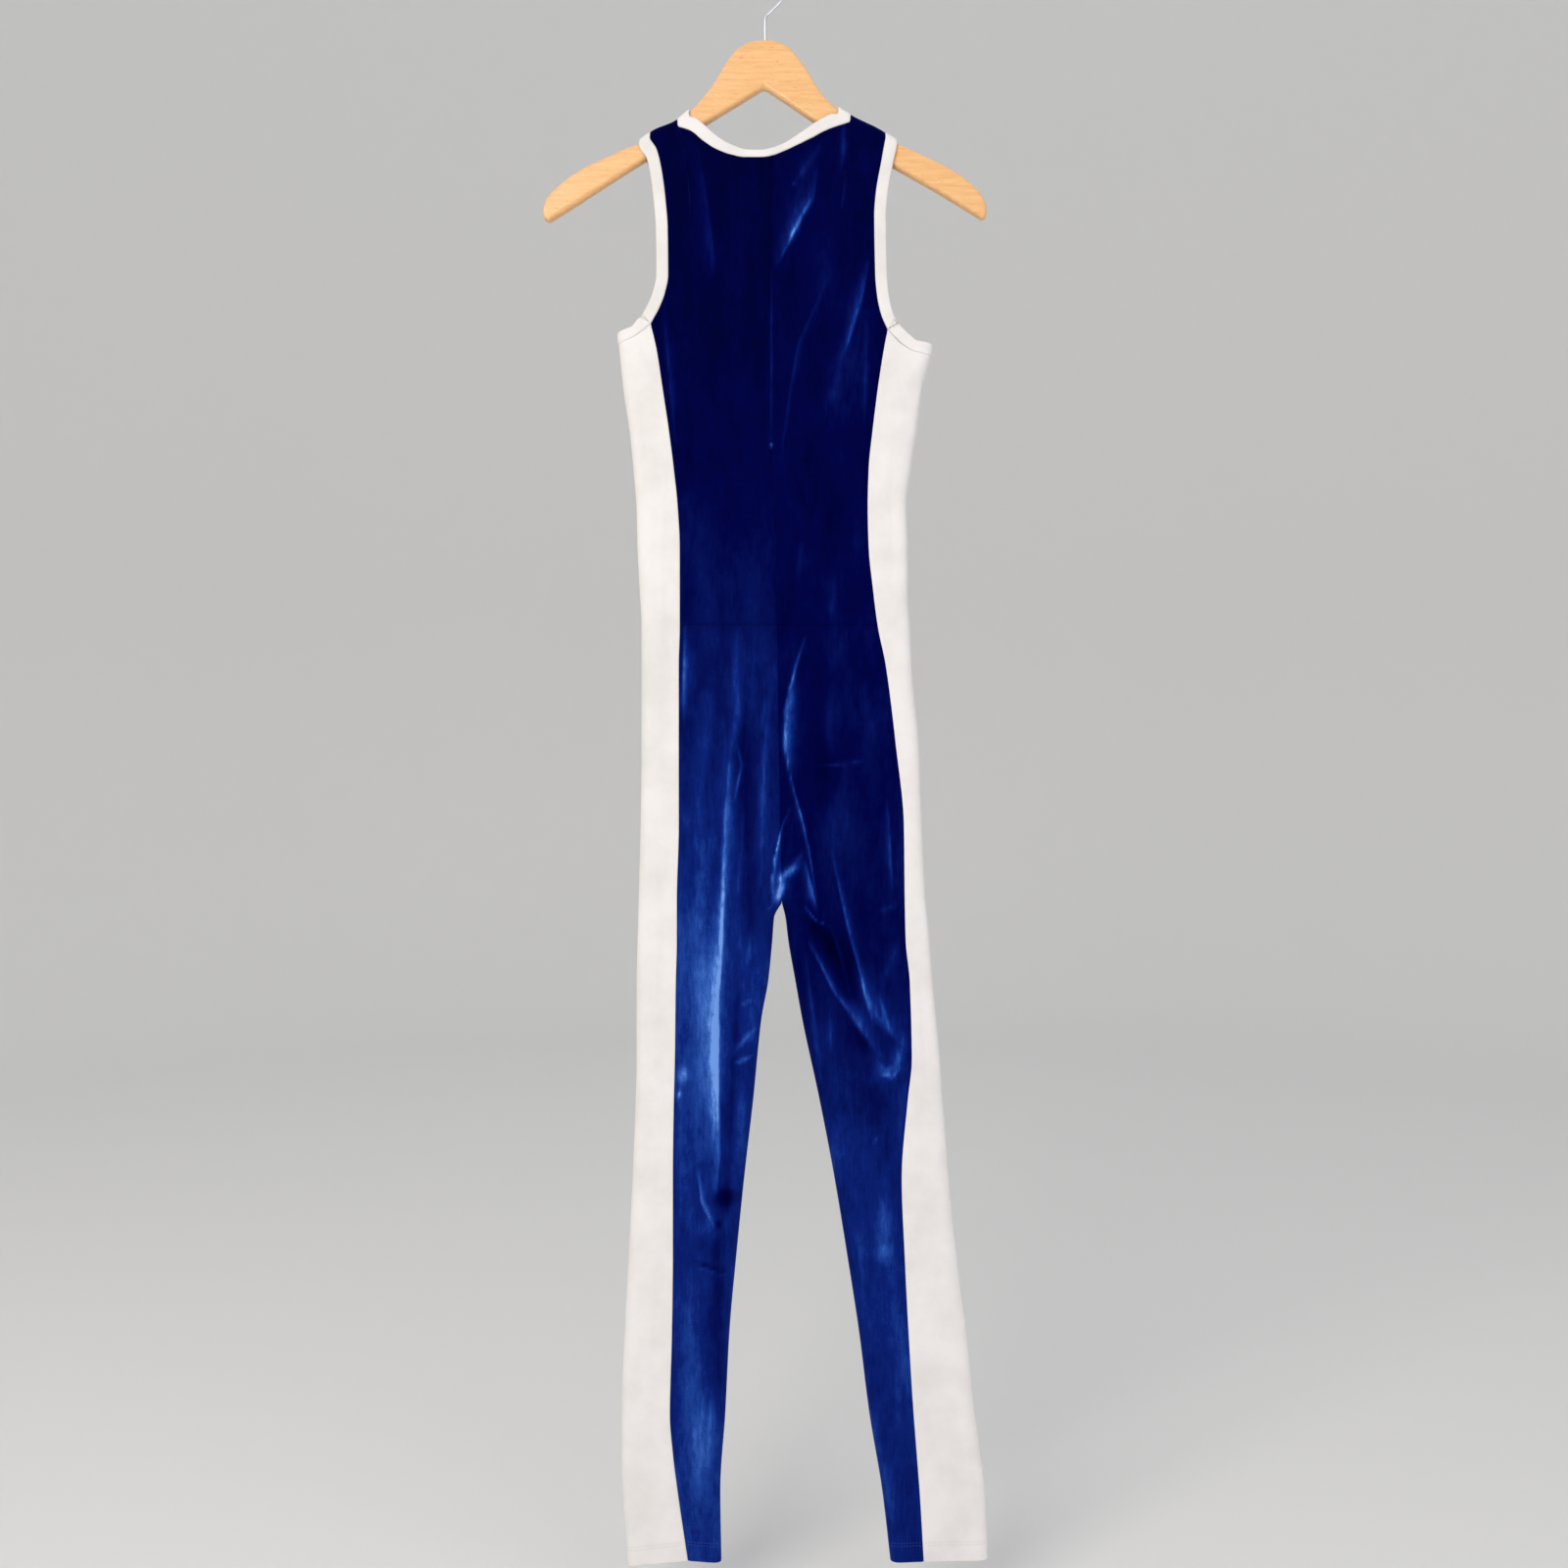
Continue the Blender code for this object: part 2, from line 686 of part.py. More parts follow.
def bodice_spots(side, face):
    plan = bodice_plan(side)
    shoulder = len(plan[0]) - 1 - SHOULDER_COLUMNS
    grid = []
    for j, row in enumerate(plan):
        spots = []
        for k, place in enumerate(row):
            on_top = j == 0 and k >= shoulder
            spots.append(spot(side, face, place.x, place.drop, face * SEAM_GAP / 2 if on_top else None))
        grid.append(spots)
    return grid


def bodices(stuff, parent):
    for side in (LEFT, RIGHT):
        grid = bodice_spots(side, FRONT)
        wall(f"front_bodice_{SIDE_NAMES[side]}", grid, [VELVET_THICK] * len(grid), stuff, parent)
    halves = {side: bodice_spots(side, BACK) for side in (LEFT, RIGHT)}
    grid = []
    for left, right in zip(halves[LEFT], halves[RIGHT]):
        middle = ((left[0][0] + right[0][0]) / 2, ((left[0][1] + right[0][1]) / 2).normalized())
        grid.append(left[:0:-1] + [middle] + right[1:])
    wall("back_bodice", grid, [VELVET_THICK] * len(grid), stuff, parent)


def leg_spots(side, face):
    """Rows down one face of a leg, each from the side seam to the centre seam or the inner edge."""
    hem = HEMS[side]
    half_gap = SEAM_GAP / 2
    outer_rows = leg_stations(HEM_DROP + hem.seam)
    inner_rows = inner_stations(HEM_DROP + hem.inner)
    outer_rows[0] = inner_rows[0] = WAIST_DROP + half_gap
    grid = []
    for outer_drop, inner_drop in zip(outer_rows, inner_rows):
        seam = SEAMS[side](outer_drop) - side * half_gap
        inner = inner_edge(side, inner_drop) + side * half_gap
        flat = inner + side * INNER_ROUND
        xs = [lerp(seam, flat, k / LEG_COLUMNS) for k in range(LEG_COLUMNS)]
        xs += [inner + side * share * INNER_ROUND for share in reversed(ROUND_STEPS)]
        row = []
        for x in xs:
            drop = lerp(outer_drop, inner_drop, (x - seam) / (inner - seam))
            folded = x == xs[-1] and inner_drop >= CROTCH_DROP
            if folded:
                row.append(spot(side, face, inner_edge(side, drop), drop, face * half_gap))
                row[-1][0].x = x
            else:
                row.append(spot(side, face, x, drop))
        grid.append(row)
    return grid


def legs(stuff, parent):
    for face in (FRONT, BACK):
        for side in (LEFT, RIGHT):
            grid = leg_spots(side, face)
            name = f"{FACE_NAMES[face]}_leg_{SIDE_NAMES[side]}"
            wall(name, grid, row_thickness(len(grid), VELVET_THICK), stuff, parent)


def side_panels(stuff, parent):
    """The white panels: from the seam at the front, round the outer fold, to the seam at the back."""
    for side in (LEFT, RIGHT):
        arm = arm_band(side)
        hem = HEMS[side]
        stations = side_stations(side)[:-1] + leg_stations(HEM_DROP + hem.seam)
        top = underarm(side)
        first = len(arm.places) - len(top)
        grid = []
        for j, station in enumerate(stations):
            low = clamp(1 - (len(stations) - 1 - j) / HEM_SLOPE_ROWS)
            half_row = []
            columns = side_columns(side, station)
            for k, away in enumerate(columns):
                if j == 0:
                    place = arm.across(first + k, -SEAM_GAP / 2)
                    if k == 0:
                        place = Place(place.x + side * SEAM_GAP, place.drop)
                else:
                    lower = (top[k][1].drop - top[0][1].drop) * UNDERARM_KEPT.get(j, 0.0)
                    lower += (hem.fold - hem.seam) * low * (1 - away / columns[0])
                    drop = station + lower
                    away -= SEAM_GAP / 2 if k == 0 else 0.0
                    place = Place(EDGES[side](drop) - side * away, drop)
                half_row.append(place)
            row = [spot(side, FRONT, *place) for place in half_row[:-1]]
            row.append(spot(side, FRONT, *half_row[-1], y=0.0))
            row += [spot(side, BACK, *place) for place in half_row[-2::-1]]
            grid.append(row)
        name = f"side_panel_{SIDE_NAMES[side]}"
        wall(name, grid, row_thickness(len(grid), JERSEY_THICK), stuff, parent)


def band_section(side, face, band, j, width, on_fold):
    """The corners of a folded band's section at one station: flush at its seam and rounded at its free edge."""
    corners = []
    for corner in BAND_CORNERS:
        place = band.across(j, lerp(SEAM_GAP / 2, width, corner.share))
        point, out = spot(side, face, place.x, place.drop, 0.0 if on_fold else None)
        corners.append(point + out * corner.rise)
    return corners


def ring(name, sections, stuff, parent):
    """A closed band through sections of equal size."""
    made = bmesh.new()
    loops = [[made.verts.new(corner * MM) for corner in section] for section in sections]
    for loop, after in zip(loops, loops[1:] + loops[:1]):
        for k in range(len(loop)):
            n = (k + 1) % len(loop)
            made.faces.new((loop[k], loop[n], after[n], after[k]))
    return finish(name, made, stuff, parent)


def bands(stuff, parent):
    sections = []
    for side, face in ((LEFT, FRONT), (RIGHT, FRONT), (RIGHT, BACK), (LEFT, BACK)):
        band = neck_band(side)
        order = range(len(band.places))
        down = side == LEFT and face == FRONT or side == RIGHT and face == BACK
        for j in order if down else reversed(order):
            repeat = j == (len(band.places) - 1 if not down else 0)
            if not repeat:
                sections.append(band_section(side, face, band, j, NECK_BAND_WIDTH, j == 0))
    ring("neck_band", sections, stuff, parent)
    for side in (LEFT, RIGHT):
        band = arm_band(side)
        last = len(band.places) - 1
        sections = []
        for face, order in ((FRONT, range(last + 1)), (BACK, range(last - 1, 0, -1))):
            for j in order:
                sections.append(band_section(side, face, band, j, ARM_BAND_WIDTH, j in (0, last)))
        ring(f"armhole_band_{SIDE_NAMES[side]}", sections, stuff, parent)


def board(stuff, parent):
    """The hanger's wooden board: its outline, thickened, with rounded edges."""
    half = BOARD_THICK / 2
    outline = [*reversed(BOARD_TIPS[LEFT]), *TOP_POINTS, *BOARD_TIPS[RIGHT], *reversed(BOARD_UNDER)]
    made = bmesh.new()
    front = made.faces.new([made.verts.new((p.x * MM, -half * MM, -p.drop * MM)) for p in outline])
    moved = bmesh.ops.extrude_face_region(made, geom=[front])
    new_verts = [item for item in moved["geom"] if isinstance(item, bmesh.types.BMVert)]
    bmesh.ops.translate(made, verts=new_verts, vec=(0, BOARD_THICK * MM, 0))
    made_board = finish("hanger_board", made, stuff, parent)
    rounded = made_board.modifiers.new("rounded_edges", "BEVEL")
    rounded.width = BOARD_EDGE * MM
    rounded.segments = 3
    rounded.limit_method = "ANGLE"
    rounded.angle_limit = math.radians(60)
    rounded.harden_normals = False
    return made_board


def hook(stuff, parent):
    """The hanger's wire hook: a stem, a straight lean to the right and a round over the rail."""
    radius = WIRE_DIAMETER / 2
    centre = HOOK_RADIUS - radius
    lean_drop = centre + HOOK_RADIUS / math.sin(HOOK_LEAN)
    stem_end = board_top(0) - SEAT_GAP
    path = [(0.0, stem_end), (0.0, lerp(stem_end, lean_drop, 0.5))]
    path += [(bend.x, lean_drop + bend.drop) for bend in HOOK_BEND]
    turn = HOOK_TIP + HOOK_LEAN
    for k in range(HOOK_STEPS + 1):
        angle = -HOOK_LEAN + turn * k / HOOK_STEPS
        path.append((HOOK_RADIUS * math.cos(angle), centre - HOOK_RADIUS * math.sin(angle)))
    wire = bpy.data.curves.new("hanger_hook", "CURVE")
    wire.dimensions = "3D"
    wire.bevel_depth = radius * MM
    wire.bevel_resolution = 2
    wire.use_fill_caps = True
    spline = wire.splines.new("POLY")
    spline.points.add(len(path) - 1)
    for point, (x, drop) in zip(spline.points, path):
        point.co = (x * MM, 0.0, -drop * MM, 1.0)
    wire.materials.append(own_material(stuff, wire.name))
    made = bpy.data.objects.new("hanger_hook", wire)
    bpy.context.scene.collection.objects.link(made)
    made.parent = parent
    return made


def main():
    for old in list(bpy.data.objects):
        bpy.data.objects.remove(old)
    velvet = material("blue_stretch_velvet", (0.004, 0.016, 0.22), 0.55, sheen=0.6)
    jersey = material("white_jersey", (0.80, 0.78, 0.76), 0.85)
    wood = material("varnished_beech", (0.78, 0.48, 0.20), 0.35, coat=0.4)
    zinc = material("zinc_plated_wire", (0.78, 0.78, 0.80), 0.30, metallic=1.0)
    garment = bpy.data.objects.new("garment", None)
    hanger = bpy.data.objects.new("hanger", None)
    for empty in (garment, hanger):
        bpy.context.scene.collection.objects.link(empty)
    garment.parent = hanger
    board(wood, hanger)
    hook(zinc, hanger)
    bodices(velvet, garment)
    legs(velvet, garment)
    side_panels(jersey, garment)
    bands(jersey, garment)


main()
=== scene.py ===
"""A blue stretch-velvet yoga jumpsuit with white side panels, hanging flat on a wooden hanger.

Every cloth piece lies on one shared surface, which has the outline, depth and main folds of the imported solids
and adds the finer creases, seams and turned hems. Lengths in the tables are millimetres: "drop" is a distance
below the inside of the hook's top, and x runs to the right of the hook's stem. Left and right are as the front
is seen.
"""

import logging
import math
from dataclasses import dataclass, field
from enum import Enum

import bmesh
import bpy
import numpy as np
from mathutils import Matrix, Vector


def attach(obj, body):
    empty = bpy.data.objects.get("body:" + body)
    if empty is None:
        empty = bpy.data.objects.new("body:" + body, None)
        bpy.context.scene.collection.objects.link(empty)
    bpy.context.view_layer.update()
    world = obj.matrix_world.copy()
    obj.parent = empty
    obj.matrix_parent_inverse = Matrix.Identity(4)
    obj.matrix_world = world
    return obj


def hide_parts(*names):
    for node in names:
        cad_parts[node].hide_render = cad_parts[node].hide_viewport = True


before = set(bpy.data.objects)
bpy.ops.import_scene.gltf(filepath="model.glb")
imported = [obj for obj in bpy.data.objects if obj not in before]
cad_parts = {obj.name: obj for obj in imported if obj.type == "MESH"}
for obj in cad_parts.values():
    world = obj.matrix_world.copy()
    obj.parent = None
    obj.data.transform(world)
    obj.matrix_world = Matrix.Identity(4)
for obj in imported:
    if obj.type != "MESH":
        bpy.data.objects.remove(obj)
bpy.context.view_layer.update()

MM = 0.001
log = logging.getLogger("jumpsuit")


class Side(Enum):
    """A half of the garment, as its front is seen."""

    LEFT = -1
    RIGHT = 1


class Face(Enum):
    """The front or the back layer of the flattened tube."""

    FRONT = -1
    BACK = 1


# Drop, left fold, left side seam, right side seam and right fold
WIDTHS = (
    (355, -149, -114, 123, 170),
    (381, -146, -108, 118, 167),
    (420, -142, -102, 112, 157),
    (460, -136, -96, 107, 152),
    (499, -132, -91, 103, 146),
    (538, -129, -87, 102, 142),
    (578, -128, -85, 103, 143),
    (617, -126, -85, 107, 143),
    (656, -124, -85, 112, 145),
    (695, -124, -86, 120, 147),
    (774, -124, -86, 130, 154),
    (853, -125, -86, 138, 157),
    (931, -127, -88, 139, 161),
    (970, -128, -88, 140, 165),
    (1010, -129, -89, 144, 168),
    (1088, -129, -90, 146, 175),
    (1128, -130, -91, 142, 178),
    (1206, -133, -92, 136, 184),
    (1285, -137, -92, 139, 192),
    (1363, -141, -93, 143, 202),
    (1442, -144, -95, 148, 210),
    (1481, -144, -92, 151, 216),
    (1520, -143, -87, 154, 220),
    (1588, -138, -77, 158, 223),
)
# Drop and x of the centre seam, down to the crotch
CENTRES = ((150, 6.4), (483, 6.4), (570, 11), (655, 12), (750, 13), (932, 16.5))
# Drop and x of the two inner legs
INNERS = (
    (932, 16.5, 16.5),
    (946, 9, 20),
    (970, 7, 23),
    (1010, 3, 30),
    (1049, -4, 37),
    (1128, -12, 54),
    (1206, -21, 69),
    (1285, -29, 82),
    (1363, -36, 94),
    (1442, -40, 104),
    (1520, -45, 117),
    (1588, -44, 125),
)
# Drop and half of the distance between the layers
DEPTHS = ((150, 9), (250, 10), (360, 10.5), (650, 11), (930, 10), (1250, 9), (1588, 8))
# x and drop along the neck seam, and along each armhole seam down to the side seam
NECKLINE = (
    (-85.8, 152),
    (-75, 162),
    (-61, 173),
    (-48, 181),
    (-34, 186),
    (-20, 188.5),
    (-3, 188.5),
    (11, 185.5),
    (43, 171),
    (63.5, 160.5),
    (83, 149.5),
)
ARMHOLES = {
    Side.LEFT: (
        (-114, 168),
        (-108, 181),
        (-102.5, 205),
        (-99.5, 228),
        (-97, 260),
        (-96.5, 306),
        (-99.5, 323),
        (-104.5, 337),
        (-114, 355),
    ),
    Side.RIGHT: (
        (119, 174),
        (115.5, 193),
        (110, 225),
        (108.5, 246),
        (109.5, 306),
        (111.5, 328),
        (115.5, 346),
        (122, 361),
    ),
}
# The same seam over the side panels: distance from the fold, and drop
UNDERARMS = {
    Side.LEFT: ((0, 374), (14, 369), (24, 363), (35, 355)),
    Side.RIGHT: ((0, 386), (16, 383), (30, 376), (47, 361)),
}
NECK_CORNERS = {Side.LEFT: -88.0, Side.RIGHT: 85.5}
SHOULDER_TIPS = {Side.LEFT: -115.0, Side.RIGHT: 120.0}
# x and drop along the top edge of the hanger's board
BOARD_TOP = (
    (-215, 223),
    (-202, 211),
    (-183, 198),
    (-162, 188),
    (-140, 178),
    (-123, 171.5),
    (-107, 163),
    (-89, 152),
    (-74, 139.5),
    (-54, 116),
    (-38, 90),
    (-28, 78),
    (-14, 71),
    (1, 69.2),
    (14, 71.5),
    (24, 77),
    (40, 96.5),
    (56, 122),
    (70, 136.5),
    (88, 148),
    (109, 160),
    (133, 173),
    (157, 184),
    (182, 196.5),
    (201, 208.5),
    (214, 221),
)
# x, and how far the cloth stands off the board's top edge there
LIFTS = ((-123, 2), (-112, 4), (-86, 0), (86, 0), (112, 2), (131, 1))
# How much lower the bottom of each leg is at its fold, side seam and inner edge
HEMS = {Side.LEFT: (6.0, -1.0, 2.0), Side.RIGHT: (-1.0, 0.0, 1.0)}


@dataclass(frozen=True)
class Fold:
    """A soft ridge, or a trough where the rise is below 0, along a path on the cloth.

    Attributes:
        path: The places that it runs through, each an x and a drop.
        width: How far from its crest it falls to about a third.
        rise: How far its crest stands out.
        painted_light: How much painted highlight its pile gets, or painted shade below 0.
    """

    path: tuple[tuple[float, float], ...]
    width: float
    rise: float
    painted_light: float = 0.0


@dataclass(frozen=True)
class PaintedStreak:
    """A streak of painted highlight, or of painted shade, in the pile's colour.

    Attributes:
        path: The places that it runs through, each an x and a drop.
        width: How far from its middle it fades to about a third.
        painted_light: How much painted highlight the pile gets there, or painted shade below 0.
        hard: The side where it ends sharply, as it runs down: 1 for the right, -1 for the left, 0 for neither.
    """

    path: tuple[tuple[float, float], ...]
    width: float
    painted_light: float
    hard: int = 0


# The largest folds, which the solids have too
MAIN_FOLDS = {
    Face.FRONT: (
        Fold(((48, 196), (33, 244), (12, 294)), 8, 2.2),
        Fold(((104, 285), (86, 368), (61, 452)), 9, 2.6),
        Fold(((62, 308), (30, 386), (16, 480)), 9, 1.6),
        Fold(((-70, 168), (-58, 236), (-52, 302)), 10, 1.6),
        Fold(((-40, 560), (-30, 610), (-27, 645)), 14, -1.4),
        Fold(((39, 664), (21, 742), (26, 812)), 8, 3.2),
        Fold(((26, 812), (38, 858), (52, 926)), 8, 2.8),
        Fold(((-27, 660), (-27, 742), (-40, 890)), 10, 2.4),
        Fold(((-40, 890), (-50, 1030), (-46, 1224)), 10, 2.6),
        Fold(((-65, 800), (-66, 960), (-63, 1130)), 13, 2.0),
        Fold(((5, 720), (-4, 838), (-8, 915)), 8, 1.8),
        Fold(((63, 714), (66, 790), (78, 892)), 12, 2.4),
        Fold(((68, 894), (84, 965), (107, 1050)), 9, 2.2),
        Fold(((43, 972), (84, 1044), (122, 1104)), 8, 3.0),
        Fold(((122, 1104), (133, 1098), (141, 1058)), 8, 2.2),
        Fold(((58, 958), (64, 986), (84, 1020)), 9, -2.0),
        Fold(((-52, 1226), (-42, 1236), (-34, 1240)), 8, 2.0),
        Fold(((-70, 1190), (-66, 1300), (-68, 1420)), 12, 1.5),
        Fold(((112, 1180), (120, 1290), (136, 1450)), 10, 1.5),
        Fold(((150, 1400), (164, 1440), (182, 1484)), 10, -1.8),
        Fold(((-120, 520), (-108, 700), (-106, 900)), 9, 1.2),
        Fold(((152, 380), (132, 430), (124, 520)), 9, 1.4),
    ),
    Face.BACK: (
        Fold(((-44, 200), (-30, 262), (-10, 320)), 9, 2.0),
        Fold(((-84, 300), (-66, 390), (-38, 480)), 10, 2.4),
        Fold(((72, 210), (66, 300), (70, 400)), 10, 1.8),
        Fold(((20, 520), (26, 580), (22, 640)), 12, 1.8),
        Fold(((-30, 668), (-8, 760), (6, 880)), 9, 2.8),
        Fold(((64, 664), (44, 770), (30, 890)), 9, 2.8),
        Fold(((-60, 720), (-62, 880), (-56, 1080)), 13, 2.2),
        Fold(((100, 740), (106, 880), (104, 1010)), 13, 2.2),
        Fold(((0, 1010), (-30, 1080), (-62, 1140)), 9, 2.4),
        Fold(((50, 1030), (82, 1098), (118, 1140)), 9, 2.6),
        Fold(((-66, 1180), (-62, 1300), (-66, 1430)), 12, 1.6),
        Fold(((116, 1200), (122, 1310), (138, 1460)), 11, 1.6),
        Fold(((-122, 600), (-108, 820), (-110, 1100)), 10, 1.2),
        Fold(((160, 1000), (168, 1150), (176, 1300)), 10, 1.4),
    ),
}

# The finer creases; those on the back also lay painted highlight streaks on the pile
CREASES = {
    Face.FRONT: (
        Fold(((-118, 430), (-122, 520), (-120, 640)), 5.0, -0.9),
        Fold(((-100, 470), (-104, 590), (-102, 700)), 4.0, 0.7),
        Fold(((-124, 700), (-127, 850), (-124, 980)), 6.0, -0.9),
        Fold(((-108, 900), (-110, 1060), (-106, 1180)), 5.0, 0.7),
        Fold(((-134, 1080), (-137, 1230), (-142, 1370)), 6.0, -1.0),
        Fold(((-112, 1260), (-116, 1400), (-120, 1500)), 5.0, 0.8),
        Fold(((-152, 1400), (-154, 1480), (-150, 1550)), 6.0, -0.9),
        Fold(((-146, 372), (-128, 384), (-116, 404)), 4.0, 0.9),
        Fold(((-144, 396), (-132, 408), (-124, 426)), 4.0, -0.8),
        Fold(((168, 384), (150, 398), (138, 420)), 4.0, 1.0),
        Fold(((166, 402), (152, 416), (144, 440)), 4.0, -0.9),
        Fold(((130, 440), (126, 520), (128, 620)), 5.0, -0.9),
        Fold(((144, 480), (142, 580), (146, 690)), 5.0, 0.8),
        Fold(((152, 900), (157, 1000), (162, 1110)), 5.0, -0.9),
        Fold(((164, 1130), (176, 1240), (186, 1340)), 6.0, 0.9),
        Fold(((196, 1260), (206, 1370), (212, 1470)), 6.0, -1.0),
        Fold(((184, 1430), (192, 1510), (196, 1570)), 5.0, 0.8),
        Fold(((58, 169), (29, 213)), 3.0, 0.5),
        Fold(((48, 198), (46, 228), (29, 254), (12, 293)), 4.0, 0.5),
        Fold(((80, 153), (75, 202)), 3.0, 0.4),
        Fold(((80, 202), (76, 238)), 3.0, 0.4),
        Fold(((104, 287), (94, 330), (84, 375), (61, 451)), 4.5, 0.5),
        Fold(((61, 310), (48, 340), (29, 389), (22, 434), (16, 480)), 3.5, 0.4),
        Fold(((-70, 169), (-58, 237), (-52, 300)), 4.0, 0.4),
        Fold(((-101, 330), (-94, 440)), 3.0, 0.4),
        Fold(((102, 350), (100, 434)), 3.0, 0.4),
        Fold(((-80, 655), (-80, 740)), 4.0, 0.4),
        Fold(((-28, 659), (-29, 703), (-26, 740), (-35, 784), (-39, 887), (-44, 971)), 4.5, 0.5),
        Fold(((-26, 776), (-23, 794), (-25, 813)), 2.2, 0.5),
        Fold(((5, 721), (-1, 776), (-4, 838), (-5, 912)), 4.0, 0.4),
        Fold(((39, 667), (26, 713), (21, 745), (20, 777), (25, 809), (38, 849), (45, 883), (52, 924)), 3.6, 0.9),
        Fold(((24, 840), (15, 858), (9, 888), (5, 934)), 3.6, 0.9),
        Fold(((38, 887), (25, 902), (11, 909)), 2.4, 0.9),
        Fold(((33, 897), (48, 907), (53, 942)), 6.0, 0.5),
        Fold(((63, 716), (65, 790), (73, 839), (78, 888)), 9.0, 0.2),
        Fold(((68, 895), (83, 961)), 6.0, 0.4),
        Fold(((121, 829), (127, 922)), 5.0, 0.3),
        Fold(((40, 793), (102, 793)), 1.2, 0.35),
        Fold(((-64, 809), (-64, 971)), 9.0, 0.2),
        Fold(((-40, 912), (-45, 998), (-49, 1035), (-48, 1108), (-46, 1182), (-48, 1223)), 4.5, 0.6),
        Fold(((-64, 937), (-62, 1133), (-67, 1207), (-55, 1256)), 9.0, 0.3),
        Fold(((-42, 1225), (-38, 1241)), 6.0, -0.9),
        Fold(((-11, 1060), (-30, 1081)), 2.4, 0.7),
        Fold(((-14, 1086), (-30, 1094)), 2.4, 0.6),
        Fold(((-79, 1290), (-58, 1297)), 2.0, 0.5),
        Fold(((72, 912), (80, 961), (94, 998), (107, 1050)), 5.5, 0.5),
        Fold(
            ((43, 973), (68, 1017), (92, 1054), (117, 1096), (124, 1106), (133, 1099), (141, 1059)),
            4.5,
            0.9,
        ),
        Fold(((43, 937), (65, 958), (84, 1022)), 6.0, -0.6),
        Fold(((40, 986), (58, 1108)), 2.6, 0.3),
        Fold(((150, 1400), (164, 1440), (182, 1484)), 6.0, -0.5),
    ),
    # On the back, the fourth number is the painted highlight along each crease
    Face.BACK: (
        Fold(((-44, 200), (-30, 262), (-10, 320)), 4.0, 0.5, 0.45),
        Fold(((-84, 300), (-66, 390), (-38, 480)), 4.5, 0.5, 0.4),
        Fold(((72, 210), (66, 300), (70, 400)), 4.0, 0.4, 0.3),
        Fold(((20, 520), (26, 580), (22, 640)), 5.0, 0.4, 0.3),
        Fold(((-30, 668), (-8, 760), (6, 880)), 4.0, 0.8, 0.7),
        Fold(((64, 664), (44, 770), (30, 890)), 4.0, 0.8, 0.7),
        Fold(((-60, 720), (-62, 880), (-56, 1080)), 7.0, 0.3, 0.35),
        Fold(((100, 740), (106, 880), (104, 1010)), 7.0, 0.3, 0.35),
        Fold(((-14, 890), (-34, 960), (-44, 1060)), 4.5, 0.5, 0.5),
        Fold(((44, 900), (62, 970), (80, 1050)), 4.5, 0.5, 0.5),
        Fold(((0, 1010), (-30, 1080), (-62, 1140)), 4.0, 0.7, 0.5),
        Fold(((50, 1030), (82, 1098), (118, 1140)), 4.0, 0.7, 0.55),
        Fold(((-66, 1180), (-62, 1300), (-66, 1430)), 6.0, 0.3, 0.3),
        Fold(((116, 1200), (122, 1310), (138, 1460)), 6.0, 0.3, 0.3),
        Fold(((-20, 1150), (-40, 1172)), 2.6, 0.6, 0.35),
        Fold(((72, 1152), (96, 1176)), 2.6, 0.6, 0.35),
    ),
}

# Painted highlight streaks along the front's creases and folds, and painted shade streaks where their third number
# is below 0
PAINTED_STREAKS = (
    PaintedStreak(((-40, 760), (-42, 900), (-45, 1040), (-52, 1140), (-50, 1225)), 13.0, 0.1, 1),
    PaintedStreak(((-64, 760), (-68, 950), (-66, 1130)), 11.0, 0.08),
    PaintedStreak(((-84, 880), (-86, 1100), (-84, 1240)), 6.0, 0.1),
    PaintedStreak(((-20, 720), (-18, 850), (-14, 960)), 9.0, -0.18),
    PaintedStreak(((-26, 1000), (-33, 1120), (-38, 1230)), 7.0, -0.16),
    PaintedStreak(((-76, 1300), (-74, 1420), (-68, 1520)), 12.0, 0.14),
    PaintedStreak(((-48, 1250), (-47, 1330), (-46, 1420)), 7.0, -0.14),
    PaintedStreak(((90, 1000), (110, 1042), (134, 1070)), 15.0, 0.32, -1),
    PaintedStreak(((84, 1046), (110, 1086), (134, 1098)), 9.0, -0.2),
    PaintedStreak(((141, 1090), (137, 1130), (134, 1165)), 6.0, 0.16),
    PaintedStreak(((78, 790), (82, 850), (84, 900)), 9.0, 0.12),
    PaintedStreak(((133, 820), (137, 880), (140, 950)), 6.0, 0.14),
    PaintedStreak(((60, 700), (58, 780), (62, 850)), 12.0, -0.12),
    PaintedStreak(((128, 1330), (150, 1430), (166, 1540)), 12.0, 0.12),
    PaintedStreak(((116, 1180), (120, 1260), (130, 1330)), 10.0, 0.1),
    PaintedStreak(((12, 934), (20, 907), (36, 893)), 5.0, 0.3),
    PaintedStreak(((98, 330), (90, 380), (86, 440)), 12.0, 0.12),
    PaintedStreak(((40, 180), (30, 240), (18, 310)), 9.0, 0.1),
)

# The photograph's pixels: the size of one at the hook, the hook's stem and inner top, and how much closer together
# things on the front come, which is nearer the camera, about the middle of the view
PIXEL = 0.982
STEM_ACROSS = 781
HOOK_DOWN = -28.2
NEARER = 0.994
VIEW_X = 18.7
VIEW_DROP = 813
# A streak fades out over half as much again as its noted width
STREAK_SPREAD = 1.5
